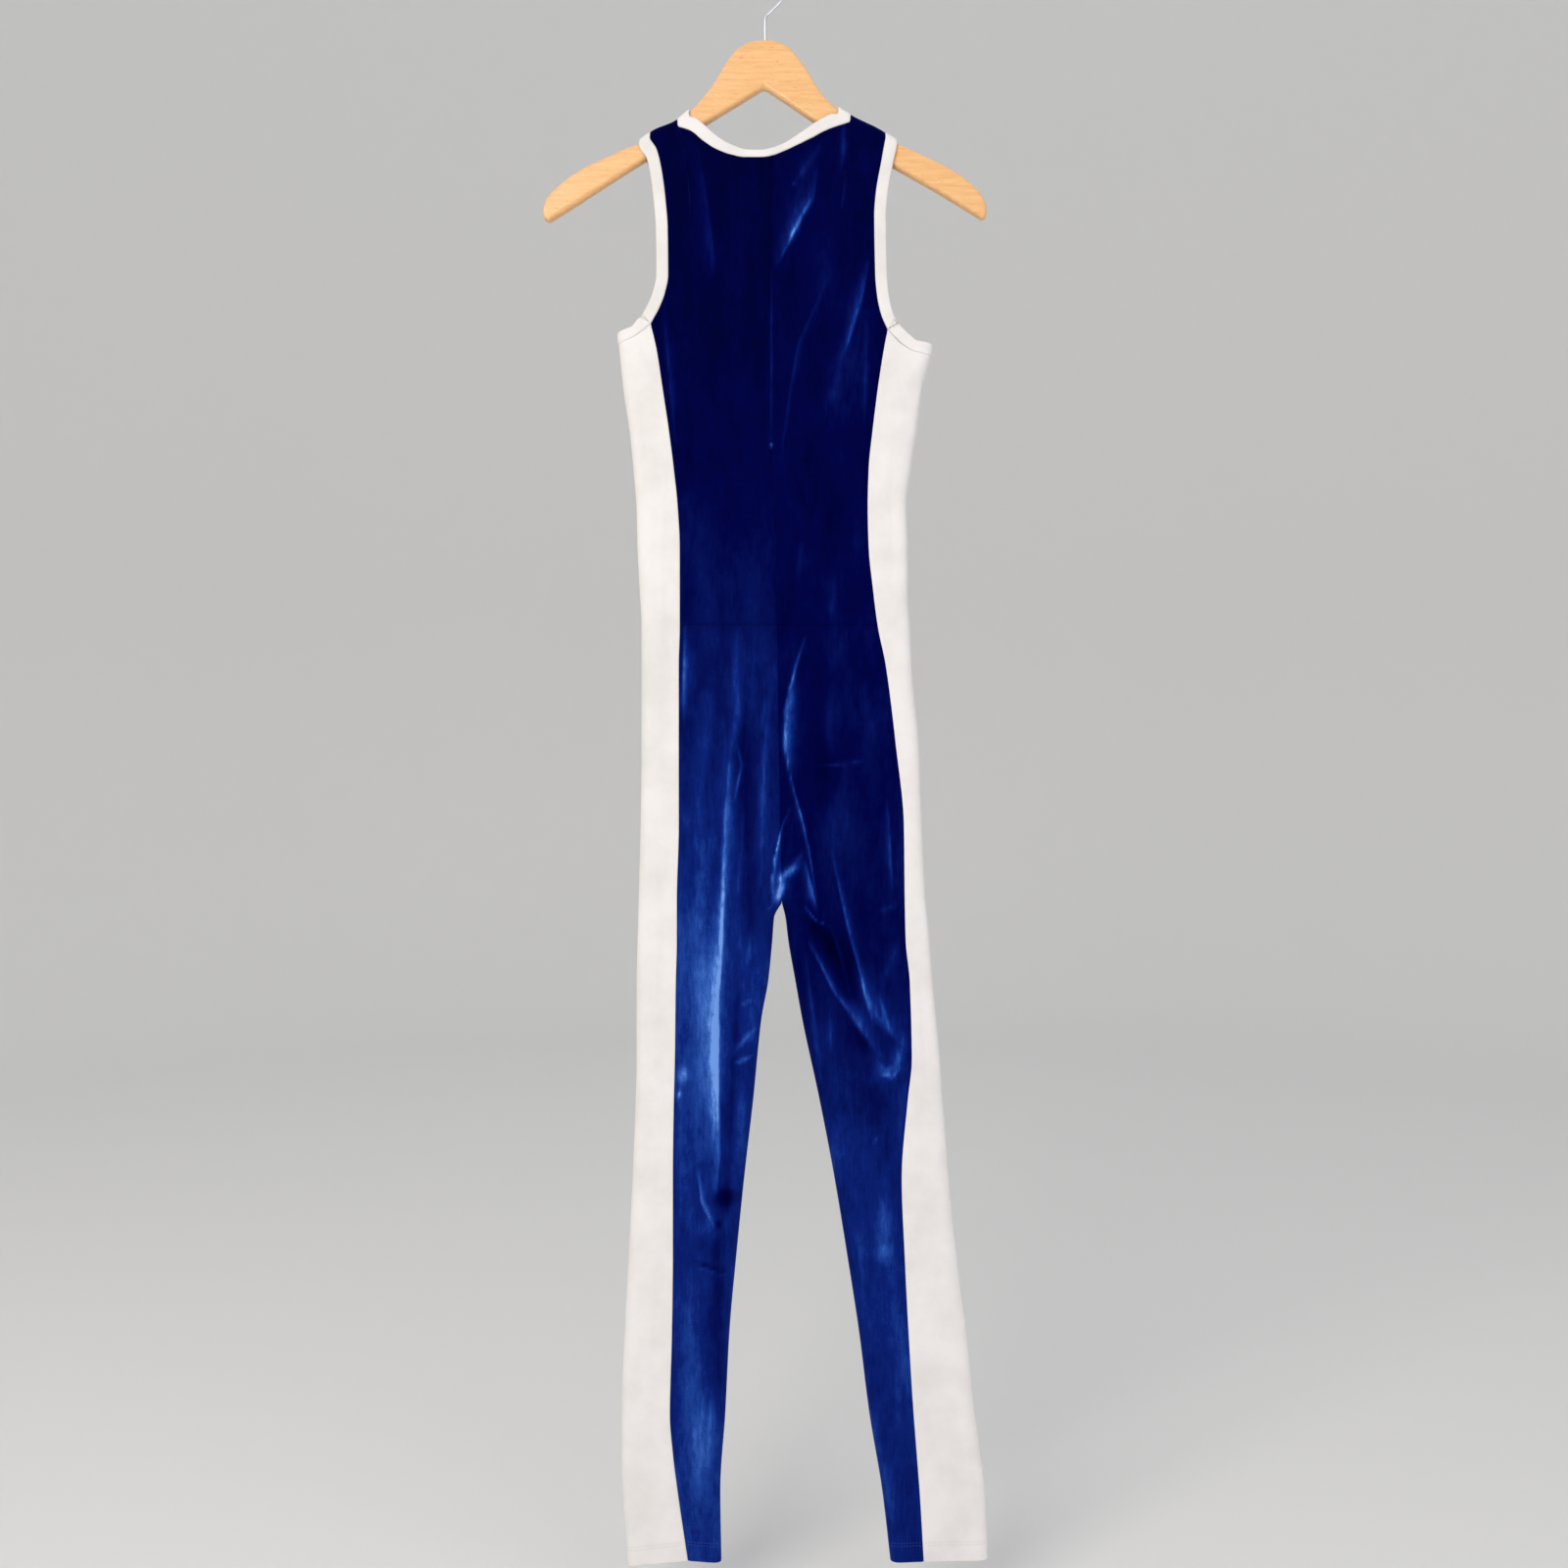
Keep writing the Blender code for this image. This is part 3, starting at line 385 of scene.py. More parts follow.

# Streaks as noted on the photograph, in its pixels across and down
# Painted highlight streaks, and painted shade streaks where the third number is below 0
NOTED_PAINTED_STREAKS = (
    # The bodice
    PaintedStreak(((840, 143), (826, 165), (810, 188)), 3, 0.24),
    PaintedStreak(((811, 186), (809, 190)), 2.2, 0.25),
    PaintedStreak(((834, 172), (829, 203), (817, 222), (806, 245), (793, 271)), 6, 0.42, 1),
    PaintedStreak(((826, 205), (812, 232), (800, 258)), 3, 0.22, -1),
    PaintedStreak(((862, 125), (860, 160), (857, 178)), 2.6, 0.3),
    PaintedStreak(((863, 176), (861, 195), (858, 214)), 2, 0.26, -1),
    PaintedStreak(((887, 263), (880, 300), (870, 335), (860, 366)), 4.5, 0.4, 1),
    PaintedStreak(((866, 345), (857, 380), (846, 410)), 8, 0.2),
    PaintedStreak(((852, 395), (846, 440)), 11, 0.14),
    PaintedStreak(((843, 287), (830, 317), (815, 350), (806, 400), (798, 455)), 3, 0.22, -1),
    PaintedStreak(((838, 240), (842, 275), (832, 312)), 7, 0.1),
    PaintedStreak(((712, 150), (720, 200), (727, 250), (729, 282)), 4.5, 0.2, 1),
    PaintedStreak(((722, 240), (728, 280)), 8, 0.1),
    PaintedStreak(((677, 308), (683, 380), (690, 455)), 1.8, 0.22),
    PaintedStreak(((683, 330), (689, 420)), 3.5, 0.12),
    PaintedStreak(((884, 330), (882, 432)), 1.8, 0.22),
    PaintedStreak(((818, 555), (814, 592)), 2.4, 0.16),
    PaintedStreak(((851, 588), (848, 632)), 2.6, 0.16),
    PaintedStreak(((705, 500), (712, 560), (712, 636)), 13, 0.1),
    PaintedStreak(((758, 560), (764, 636)), 14, 0.1),
    PaintedStreak(((787, 247), (787, 455)), 0.9, 0.3),
    PaintedStreak(((787, 452), (787.5, 457)), 1.5, 0.6),
    PaintedStreak(((735, 420), (741, 470)), 9, 0.06),
    PaintedStreak(((880, 150), (889, 180)), 7, 0.12),
    PaintedStreak(((845, 260), (850, 330)), 10, 0.08),
    # The hips
    PaintedStreak(((699, 638), (698, 680), (697, 732)), 3.4, 0.36, -1),
    PaintedStreak(((753, 641), (750, 687), (754, 725), (746, 760), (743, 800)), 3.6, 0.22),
    PaintedStreak(((744, 780), (740, 850), (738, 905), (735, 962)), 5, 0.32, -1),
    PaintedStreak(((752, 760), (757, 780), (753, 800), (750, 816)), 1.2, 0.3),
    PaintedStreak(((758, 815), (757, 860), (753, 912)), 1.8, 0.16),
    PaintedStreak(((787, 703), (782, 740), (780, 780), (778, 830), (776, 902)), 3.2, 0.22),
    PaintedStreak(((781, 713), (777, 746)), 1.5, 0.16),
    PaintedStreak(((822, 648), (812, 680), (806, 704)), 1.2, 0.42),
    PaintedStreak(((809, 690), (802, 725), (801, 762), (806, 790)), 6, 0.62, -1),
    PaintedStreak(((803, 772), (810, 805), (820, 840), (826, 868), (831, 900), (834, 916)), 1.5, 0.55, 1),
    PaintedStreak(((806, 824), (798, 842), (791, 872), (787, 905), (786, 928)), 1.4, 0.5, -1),
    PaintedStreak(((818, 871), (811, 884), (801, 891), (794, 898)), 2.6, 0.5),
    PaintedStreak(((797, 896), (799, 905), (789, 921)), 3, 0.4),
    PaintedStreak(((822, 880), (827, 902), (834, 928)), 4.2, 0.5, 1),
    PaintedStreak(((845, 698), (846, 730), (848, 770)), 6, 0.24),
    PaintedStreak(((843, 800), (853, 850), (858, 882)), 6.5, 0.14),
    PaintedStreak(((849, 872), (856, 905), (866, 950), (877, 990), (889, 1041)), 2.8, 0.42, -1),
    PaintedStreak(((905, 815), (908, 860), (911, 907)), 3, 0.32, 1),
    PaintedStreak(((822, 779), (850, 780), (881, 778)), 0.9, 0.32),
    PaintedStreak(((868, 778), (880, 776)), 1.4, 0.2),
    PaintedStreak(((714, 790), (715, 880), (714, 960), (716, 1125), (712, 1195)), 10, 0.12),
    PaintedStreak(((720, 690), (722, 800)), 6, 0.08),
    PaintedStreak(((880, 690), (890, 760)), 6, 0.1),
    PaintedStreak(((866, 640), (858, 660), (846, 690)), 4, 0.12),
    PaintedStreak(((806, 600), (800, 650)), 5, -0.08),
    # The left leg
    PaintedStreak(((739, 900), (735, 987), (732, 1025), (732, 1100), (734, 1175), (731, 1216)), 4.4, 0.4, 1),
    PaintedStreak(((728, 960), (726, 1100), (727, 1180)), 6, 0.08),
    PaintedStreak(((712, 1194), (716, 1226), (728, 1251)), 2.4, 0.3, -1),
    PaintedStreak(((721, 1240), (729, 1264)), 8, 0.18),
    PaintedStreak(((739, 1212), (742, 1232)), 6.5, -0.4),
    PaintedStreak(((730, 1246), (736, 1252)), 3, -0.25),
    PaintedStreak(((771, 1049), (758, 1062), (750, 1073)), 2, 0.26),
    PaintedStreak(((768, 1077), (749, 1085)), 1.6, 0.3),
    PaintedStreak(((767, 1020), (755, 1026)), 1.4, 0.2),
    PaintedStreak(((762, 985), (765, 962)), 2.4, 0.14),
    PaintedStreak(((698, 1088), (697, 1106)), 3.6, 0.3),
    PaintedStreak(((694, 1112), (692, 1122)), 1.4, 0.3),
    PaintedStreak(((709, 1287), (739, 1298)), 1.4, -0.22),
    PaintedStreak(((711, 1291), (741, 1302)), 1.6, 0.12),
    PaintedStreak(((712, 1370), (716, 1450), (712, 1530)), 7, 0.12),
    PaintedStreak(((726, 1430), (722, 1500)), 2.6, 0.14),
    PaintedStreak(((758, 1100), (752, 1180)), 4, 0.1),
    # The right leg
    PaintedStreak(((824, 938), (845, 957), (861, 985), (868, 1014)), 7, -0.4),
    PaintedStreak(((821, 923), (832, 938), (847, 945)), 1.3, 0.5, 1),
    PaintedStreak(((847, 944), (858, 975), (868, 1016)), 1.5, 0.36),
    PaintedStreak(((825, 961), (838, 985), (850, 1010), (864, 1030)), 2.6, 0.45, -1),
    PaintedStreak(((858, 1018), (878, 1048), (898, 1077)), 7.5, 0.36, -1),
    PaintedStreak(((886, 1068), (903, 1092), (914, 1088), (922, 1057)), 4.6, 0.36),
    PaintedStreak(((899, 1095), (911, 1098), (918, 1089)), 1.4, 0.3),
    PaintedStreak(((822, 975), (830, 1040), (838, 1102)), 1.3, 0.24),
    PaintedStreak(((847, 1030), (848, 1070)), 2, 0.13),
    PaintedStreak(((917, 960), (908, 985), (901, 1002)), 4, 0.2),
    PaintedStreak(((898, 1018), (908, 1052)), 1.5, 0.26),
    PaintedStreak(((896, 930), (917, 922)), 2, 0.16),
    PaintedStreak(((892, 1162), (895, 1164)), 3, 0.22),
    PaintedStreak(((890, 1100), (900, 1150)), 9, -0.12),
    PaintedStreak(((898, 1220), (903, 1262)), 3, 0.14),
    PaintedStreak(((869, 1240), (879, 1292)), 6, 0.09),
    PaintedStreak(((899, 1268), (904, 1284)), 7, 0.14),
    PaintedStreak(((900, 1490), (912, 1562)), 4.5, 0.16),
    PaintedStreak(((884, 1420), (900, 1505)), 5, 0.1),
    PaintedStreak(((852, 1130), (860, 1220)), 9, 0.07),
)

# Drop, and the painted light and shade of the pile there on the left and the right half, partly the halves' own
# nap: 0 is its darkest and 1 its lightest
LIT_TONES = (
    (150, 0.16, 0.20),
    (300, 0.17, 0.22),
    (450, 0.24, 0.24),
    (560, 0.29, 0.26),
    (650, 0.36, 0.30),
    (668, 0.42, 0.31),
    (760, 0.48, 0.30),
    (870, 0.51, 0.32),
    (930, 0.53, 0.33),
    (1010, 0.60, 0.36),
    (1080, 0.60, 0.44),
    (1150, 0.58, 0.50),
    (1250, 0.55, 0.54),
    (1400, 0.55, 0.55),
    (1500, 0.62, 0.54),
    (1590, 0.66, 0.56),
)


class Curve:
    """A smooth curve through points with rising x, which stays between them and is level past its ends."""

    def __init__(self, xs: list[float], ys: list[float]) -> None:
        """Works out the curve's slopes at its points.

        Args:
            xs: The points' places, rising.
            ys: Their values.
        """
        self.xs = np.array(xs, float)
        self.ys = np.array(ys, float)
        rises = np.diff(self.ys) / np.diff(self.xs)
        before, after = rises[:-1], rises[1:]
        same = before * after > 0
        middle = np.where(same, 2 * before * after / np.where(same, before + after, 1.0), 0.0)
        self.slopes = np.concatenate([rises[:1], middle, rises[-1:]])

    def __call__(self, x: np.ndarray) -> np.ndarray:
        """Gives the curve's values.

        Args:
            x: The places.

        Returns:
            The value at each place.
        """
        x = np.clip(x, self.xs[0], self.xs[-1])
        k = np.clip(np.searchsorted(self.xs, x, side="left") - 1, 0, len(self.xs) - 2)
        long = self.xs[k + 1] - self.xs[k]
        t = (x - self.xs[k]) / long
        bend = (2 * t - 3) * t * t
        start, end = self.slopes[k] * long, self.slopes[k + 1] * long
        joined = self.ys[k] * (1 + bend) - self.ys[k + 1] * bend
        return joined + start * t * (1 - t) ** 2 - end * t * t * (1 - t)


def lerp(a: np.ndarray, b: np.ndarray, share: np.ndarray) -> np.ndarray:
    """Gives the value a share of the way from a to b."""
    return a + (b - a) * share


def columns_of(table: tuple) -> list[list[float]]:
    """Gives a table's columns."""
    return [list(column) for column in zip(*table)]


def along(path: np.ndarray) -> np.ndarray:
    """Gives each point's distance along a path, from its start."""
    return np.concatenate([[0.0], np.cumsum(np.linalg.norm(np.diff(path, axis=0), axis=1))])


def resample(path: np.ndarray, shares: np.ndarray) -> np.ndarray:
    """Gives the points at shares of a path's length.

    Args:
        path: The path's points, one to a row.
        shares: The shares, from 0 to 1.

    Returns:
        One point for each share.
    """
    far = along(path)
    return np.stack([np.interp(shares * far[-1], far, column) for column in path.T], axis=1)


def smooth_path(places: list, count: int) -> np.ndarray:
    """Gives points at equal distances along a smooth path.

    Args:
        places: The places that it runs through.
        count: How many points to make.

    Returns:
        The points, one to a row.
    """
    places = np.array(places, float)
    far = along(places)
    steps = np.linspace(0, far[-1], count)
    return np.stack([Curve(far, column)(steps) for column in places.T], axis=1)


def graded(long: float, step: float, fine: tuple[float, ...]) -> np.ndarray:
    """Gives shares of a length, closer together at its two ends.

    Args:
        long: The length.
        step: The distance between shares in its middle.
        fine: The first distances from each end, rising from 0.

    Returns:
        The shares, rising from 0 to 1.
    """
    ends = np.array(fine) / long
    count = max(int((long - 2 * fine[-1]) / step), 2)
    middle = np.linspace(ends[-1], 1 - ends[-1], count + 1)
    return np.concatenate([ends[:-1], middle, 1 - ends[:-1][::-1]])


def from_photo(noted: PaintedStreak) -> PaintedStreak:
    """Turns a streak from the photograph's pixels into millimetres on the front of the cloth.

    Args:
        noted: The streak in pixels.

    Returns:
        The streak in millimetres.
    """
    places = np.array(noted.path, float) - (STEM_ACROSS, HOOK_DOWN)
    view = np.array((VIEW_X, VIEW_DROP))
    path = view + (places * PIXEL - view) * NEARER
    return PaintedStreak(tuple(map(tuple, path)), noted.width * PIXEL * NEARER * STREAK_SPREAD, noted.painted_light, noted.hard)


def beside(path: tuple, reach: float, x: np.ndarray, drop: np.ndarray) -> tuple:
    """Finds the places beside a path.

    Args:
        path: The places that the path runs through, each an x and a drop.
        reach: How far from it to look.
        x: The x of the places to look at.
        drop: Their drops.

    Returns:
        Which of the places are near, their distances from the path, above 0 to its right as it runs down, and
        their shares of its length.
    """
    points = np.array(path, float)
    low, high = points.min(axis=0) - reach, points.max(axis=0) + reach
    near = (x > low[0]) & (x < high[0]) & (drop > low[1]) & (drop < high[1])
    here = np.stack([x[near], drop[near]], axis=1)
    far = along(points) / along(points)[-1]
    nearest, share, side = np.full(len(here), np.inf), np.zeros(len(here)), np.ones(len(here))
    for k, (a, b) in enumerate(zip(points, points[1:])):
        run = b - a
        t = np.clip((here - a) @ run / (run @ run), 0, 1)
        away = np.linalg.norm(here - a - t[:, None] * run, axis=1)
        closer = away < nearest
        nearest[closer] = away[closer]
        share[closer] = lerp(far[k], far[k + 1], t)[closer]
        side[closer] = np.sign((here - a) @ np.array((run[1], -run[0])))[closer]
    return near, nearest * side, share


@dataclass
class Form:
    """The surface that all the cloth lies on.

    Attributes:
        power: How squarely the flattened tube rounds over at its edges.
        edge_round: How far in from the outer folds it rounds.
        inner_round: How far in from the inner legs it rounds.
        top_round: How far below the board's top edge it rounds.
        crotch_round: How far above the crotch the inner rounding fades out.
        waist: The waist seam's drop.
        crotch: The crotch's drop.
        hem: The hems' drop.
        seat: How far the cloth's surface stands off the board.
        board_step: The distance between the points of the board's top edge.
        streak_end: A streak's width at its ends, as a share of its full width.
        streak_fade: How it fades towards them.
        sharp_share: How wide it is on a sharp side, as a share of the soft side.
        soft_power: How it fades on a soft side.
    """

    power: float = 2.5
    edge_round: float = 14.0
    inner_round: float = 12.0
    top_round: float = 10.0
    crotch_round: float = 45.0
    waist: float = 655.0
    crotch: float = 932.0
    hem: float = 1588.0
    seat: float = 2.45
    board_step: float = 4.5
    streak_end: float = 0.45
    streak_fade: float = 0.6
    sharp_share: float = 0.3
    soft_power: float = 1.4
    edges: dict = field(init=False)
    seams: dict = field(init=False)
    inners: dict = field(init=False)
    lit_tones: dict = field(init=False)

    def __post_init__(self) -> None:
        """Makes the curves from the tables."""
        drop, left_edge, left_seam, right_seam, right_edge = columns_of(WIDTHS)
        self.edges = {Side.LEFT: Curve(drop, left_edge), Side.RIGHT: Curve(drop, right_edge)}
        self.seams = {Side.LEFT: Curve(drop, left_seam), Side.RIGHT: Curve(drop, right_seam)}
        drop, left, right = columns_of(INNERS)
        self.inners = {Side.LEFT: Curve(drop, left), Side.RIGHT: Curve(drop, right)}
        drop, left, right = columns_of(LIT_TONES)
        self.lit_tones = {Side.LEFT: Curve(drop, left), Side.RIGHT: Curve(drop, right)}
        self.centre = Curve(*columns_of(CENTRES))
        self.half_depth = Curve(*columns_of(DEPTHS))
        self.lift = Curve(*columns_of(LIFTS))
        self.neckline = Curve(*columns_of(NECKLINE))
        xs, drops = columns_of(BOARD_TOP)
        self.board_xs = np.linspace(xs[0], xs[-1], round((xs[-1] - xs[0]) / self.board_step) + 1)
        self.board_drops = Curve(xs, drops)(self.board_xs)

    def board_top(self, x: np.ndarray) -> np.ndarray:
        """Gives the drop of the board's top edge at x."""
        return np.interp(x, self.board_xs, self.board_drops)

    def top_drop(self, x: np.ndarray) -> np.ndarray:
        """Gives the drop of the cloth's line along the board's top edge at x."""
        step = 3.0
        slope = (self.board_top(x + step) - self.board_top(x - step)) / (2 * step)
        return self.board_top(x) - self.seat * np.hypot(1, slope) - self.lift(x)

    def inner(self, side: Side, drop: np.ndarray) -> np.ndarray:
        """Gives the x of the centre seam above the crotch, and of a leg's inner edge below it."""
        return np.where(drop <= self.crotch, self.centre(drop), self.inners[side](drop))

    def openness(self, side: Side, x: np.ndarray, drop: np.ndarray) -> np.ndarray:
        """Gives how far the tube has opened at places.

        Args:
            side: The half that they lie on.
            x: Their x.
            drop: Their drops.

        Returns:
            0 on a folded edge, up to 1 where the layers lie flat.
        """
        from_edge = side.value * (self.edges[side](drop) - x) / self.edge_round
        from_inner = side.value * (x - self.inner(side, drop)) / self.inner_round
        above = np.clip((self.crotch - drop) / self.crotch_round, 0, 1)
        below_top = (drop - self.top_drop(x)) / self.top_round
        at_edge = 1 - np.clip(1 - from_edge, 0, 1) ** self.power
        at_inner = 1 - (np.clip(1 - from_inner, 0, 1) * (1 - above)) ** self.power
        at_top = 1 - np.clip(1 - below_top, 0, 1) ** self.power
        return at_edge * at_inner * at_top

    def fold_rise(self, folds: tuple[Fold, ...], x: np.ndarray, drop: np.ndarray) -> np.ndarray:
        """Gives how far folds stand out at places.

        Args:
            folds: The folds.
            x: The places' x.
            drop: Their drops.

        Returns:
            The rise at each place.
        """
        rise = np.zeros_like(x)
        for fold in folds:
            near, away, share = beside(fold.path, 3 * fold.width, x, drop)
            fade = np.sin(np.pi * lerp(0.06, 0.94, share)) ** 0.7
            rise[near] += fold.rise * fade * np.exp(-((away / fold.width) ** 2))
        return rise

    def streaks_painted_light(self, face: Face, x: np.ndarray, drop: np.ndarray) -> np.ndarray:
        """Gives the painted highlight and painted shade that the streaks lay on the pile at places.

        Args:
            face: The layer.
            x: The places' x.
            drop: Their drops.

        Returns:
            The painted highlight or shade at each place.
        """
        painted_light = np.zeros_like(x)
        streaks = [*PAINTED_STREAKS, *map(from_photo, NOTED_PAINTED_STREAKS)]
        # On the back, the creases' painted highlights are the only streaks
        if face is Face.BACK:
            streaks = [PaintedStreak(fold.path, fold.width, 0.7 * fold.painted_light) for fold in CREASES[face]]
        for streak in streaks:
            near, away, share = beside(streak.path, 4 * streak.width, x, drop)
            swell = np.sin(np.pi * lerp(0.04, 0.96, share))
            width = streak.width * lerp(self.streak_end, 1, swell)
            sharp = away * streak.hard > 0
            far = np.abs(away) / np.where(sharp, self.sharp_share * width, width)
            power = np.where(sharp, 2.0, self.soft_power)
            painted_light[near] += streak.painted_light * swell**self.streak_fade * np.exp(-(far**power))
        return painted_light

    def ripple(self, face: Face, x: np.ndarray, drop: np.ndarray) -> np.ndarray:
        """Gives the soft unevenness of hanging cloth at places, within about half a millimetre."""
        turn = 0.0 if face is Face.FRONT else 2.1
        slow = np.sin(x / 19 + drop / 97 + turn) * np.sin(drop / 71 + 1.3 + turn)
        quick = np.sin(x / 7.3 - drop / 160 + 2 * turn) * np.sin(drop / 37 + x / 51 + turn)
        return 0.35 * slow + 0.13 * quick

    def surface(self, side: Side, face: Face, x: np.ndarray, drop: np.ndarray) -> tuple:
        """Gives points on the cloth's outer surface.

        Args:
            side: The half that they lie on.
            face: The layer.
            x: Their x.
            drop: Their drops.

        Returns:
            The points, in millimetres, and at each the painted light and shade of the pile and the painted
            highlight or shade of its streaks.
        """
        folds = (*MAIN_FOLDS[face], *CREASES[face])
        far = self.half_depth(drop) + self.fold_rise(folds, x, drop) + self.ripple(face, x, drop)
        deep = np.clip(self.openness(side, x, drop), 0, 1) ** (1 / self.power)
        points = np.stack([x, face.value * far * deep, -drop], axis=-1)
        return points, self.lit_tones[side](drop), self.streaks_painted_light(face, x, drop)


@dataclass
class ClothGrid:
    """A sheet of cloth as rows of points, with its distances across and down.

    Attributes:
        points: The points, in millimetres.
        tone: The painted light and shade of the pile at each, partly the halves' own nap.
        painted_light: The painted highlight, or painted shade, that the streaks lay on it.
    """

    points: np.ndarray
    tone: np.ndarray
    painted_light: np.ndarray

    def normals(self, out_to: np.ndarray) -> np.ndarray:
        """Gives the surface's directions.

        Args:
            out_to: A direction that the middle of the sheet roughly faces.

        Returns:
            A unit direction out of the cloth for each point.
        """
        across, down = np.gradient(self.points, axis=1), np.gradient(self.points, axis=0)
        found = np.cross(across, down)
        found /= np.maximum(np.linalg.norm(found, axis=-1, keepdims=True), 1e-9)
        return found if (found @ out_to).mean() > 0 else -found

    def reaches(self) -> tuple[np.ndarray, np.ndarray]:
        """Gives each point's distance across the sheet from its first column, and down from its first row."""
        steps_across = np.diff(self.points, axis=1, prepend=self.points[:, :1])
        steps_down = np.diff(self.points, axis=0, prepend=self.points[:1])
        across = np.cumsum(np.linalg.norm(steps_across, axis=-1), axis=1)
        down = np.cumsum(np.linalg.norm(steps_down, axis=-1), axis=0)
        return across, down

    def sink_edges(self, out: np.ndarray, sides: str, depth: float = 0.9, width: float = 1.5) -> None:
        """Pulls seam edges into the cloth, unevenly as sewing does.

        Args:
            out: The directions out of the cloth.
            sides: Which edges: any of "l", "r", "t" and "b".
            depth: How far an edge sinks.
            width: How far in the sinking reaches.
        """
        across, down = self.reaches()
        away = {"l": across, "r": across[:, -1:] - across, "t": down, "b": down[-1:] - down}
        run = {"l": down, "r": down, "t": across, "b": across}
        sunk = np.zeros(self.tone.shape)
        for side in sides:
            pucker = 1 + 0.25 * np.sin(run[side] / 2.3) + 0.2 * np.sin(run[side] / 5.9 + 1)
            sunk = np.maximum(sunk, depth * pucker * np.exp(-((away[side] / width) ** 2)))
        self.points[..., 1] -= out[..., 1] * sunk

    def turn_hem(self, out: np.ndarray, turn: float = 17.0) -> None:
        """Turns the bottom of the sheet up inside itself.

        Args:
            out: The directions out of the cloth.
            turn: How far up it goes.
        """
        _, down = self.reaches()
        last, normal, tone = self.points[-1], out[-1], self.tone[-1]
        rows = [last + (0, 0, -0.35) - normal * 0.35, last + (0, 0, -0.4) - normal * 0.95]
        rows.append(last + (0, 0, 0.1) - normal * 1.6)
        heights = [1.5, 5.0, 9.0, 13.0, turn]
        for height in heights:
            j = int(np.argmin(np.abs((down[-1] - down).mean(axis=1) - height)))
            rows.append(self.points[j] - out[j] * 1.75)
        self.points = np.concatenate([self.points, np.stack(rows)])
        self.tone = np.concatenate([self.tone, np.stack([tone] * len(rows))])
        self.painted_light = np.concatenate([self.painted_light, np.stack([self.painted_light[-1]] * len(rows))])

    def mesh(self, name: str, out_to: Vector, closed: bool = False) -> bpy.types.Object:
        """Makes the sheet's object, with its outer faces only.

        Args:
            name: The object's name.
            out_to: A direction that the outside of the sheet faces.
            closed: Whether its rows and columns both close into rings.

        Returns:
            The object, in the scene.
        """
        rows, columns = self.tone.shape
        index = np.arange(rows * columns).reshape(rows, columns)
        if closed:
            index = np.pad(index, ((0, 1), (0, 1)), mode="wrap")
        corners = [index[:-1, :-1], index[:-1, 1:], index[1:, 1:], index[1:, :-1]]
        faces = np.stack(corners, axis=-1).reshape(-1, 4)
        flat = self.points.reshape(-1, 3)
        a, b, d = flat[faces[:, 0]], flat[faces[:, 1]], flat[faces[:, 3]]
        crosses = np.cross(b - a, d - a)
        if closed:
            turned = (crosses * ((a + b + d) / 3)).sum() < 0
        else:
            turned = (crosses @ np.array(out_to)).sum() < 0
        if turned:
            faces = faces[:, ::-1]
        mesh = bpy.data.meshes.new(name)
        mesh.from_pydata((flat * MM).tolist(), [], faces.tolist())
        across, down = self.reaches()
        cloth = np.stack([across, down, np.zeros_like(down)], axis=-1).reshape(-1, 3) * MM
        mesh.attributes.new("cloth", "FLOAT_VECTOR", "POINT").data.foreach_set("vector", cloth.ravel())
        for kind, values in (("tone", self.tone), ("painted_light", self.painted_light)):
            stored = mesh.attributes.new(kind, "FLOAT", "POINT")
            stored.data.foreach_set("value", values.astype(np.float32).ravel())
        mesh.shade_smooth()
        made = bpy.data.objects.new(name, mesh)
        bpy.context.scene.collection.objects.link(made)
        return made


def thicken(cloth: bpy.types.Object, thick: float = 0.8) -> None:
    """Gives a sheet its thickness, inwards from its outer faces."""
    shell = cloth.modifiers.new("cloth_thickness", "SOLIDIFY")
    shell.thickness = thick * MM
    shell.offset = -1.0
    shell.use_even_offset = False


def linear(code: str, alpha: float = 1.0) -> tuple[float, float, float, float]:
    """Turns an sRGB hex colour into linear values.

    Args:
        code: The colour, such as "#0a1b8c".
        alpha: Its alpha.

    Returns:
        Red, green, blue and alpha.
    """
    found = []
    for k in (1, 3, 5):
        value = int(code[k : k + 2], 16) / 255
        found.append(value / 12.92 if value <= 0.04045 else ((value + 0.055) / 1.055) ** 2.4)
    return (*found, alpha)


def add_node(
    tree: bpy.types.NodeTree, kind: str, inputs: dict | None = None, **settings: object
) -> bpy.types.Node:
    """Adds a node with its settings and links.

    Args:
        tree: The tree that it goes in.
        kind: The node's type.
        inputs: Socket names or numbers, each with a value or the socket that feeds it.
        **settings: The node's own properties.

    Returns:
        The node.
    """
    node = tree.nodes.new(kind)
    for name, value in settings.items():
        setattr(node, name, value)
    for socket, value in (inputs or {}).items():
        if isinstance(value, bpy.types.NodeSocket):
            tree.links.new(value, node.inputs[socket])
        else:
            node.inputs[socket].default_value = value
    return node


def set_ramp(ramp: bpy.types.Node, stops: tuple[tuple[float, str], ...]) -> None:
    """Sets a colour ramp's stops, each a place and a hex colour."""
    elements = ramp.color_ramp.elements
    while len(elements) < len(stops):
        elements.new(1.0)
    for element, (place, code) in zip(elements, stops):
        element.position = place
        element.color = linear(code)


def start_material(name: str, sockets: dict) -> tuple[bpy.types.Material, bpy.types.Node]:
    """Makes a material with one shader.

    Args:
        name: The material's name.
        sockets: The shader's values that are the same all over.

    Returns:
        The material and its shader.
    """
    made = bpy.data.materials.new(name)
    made.use_nodes = True
    shader = made.node_tree.nodes["Principled BSDF"]
    for socket, value in sockets.items():
        shader.inputs[socket].default_value = value
    return made, shader


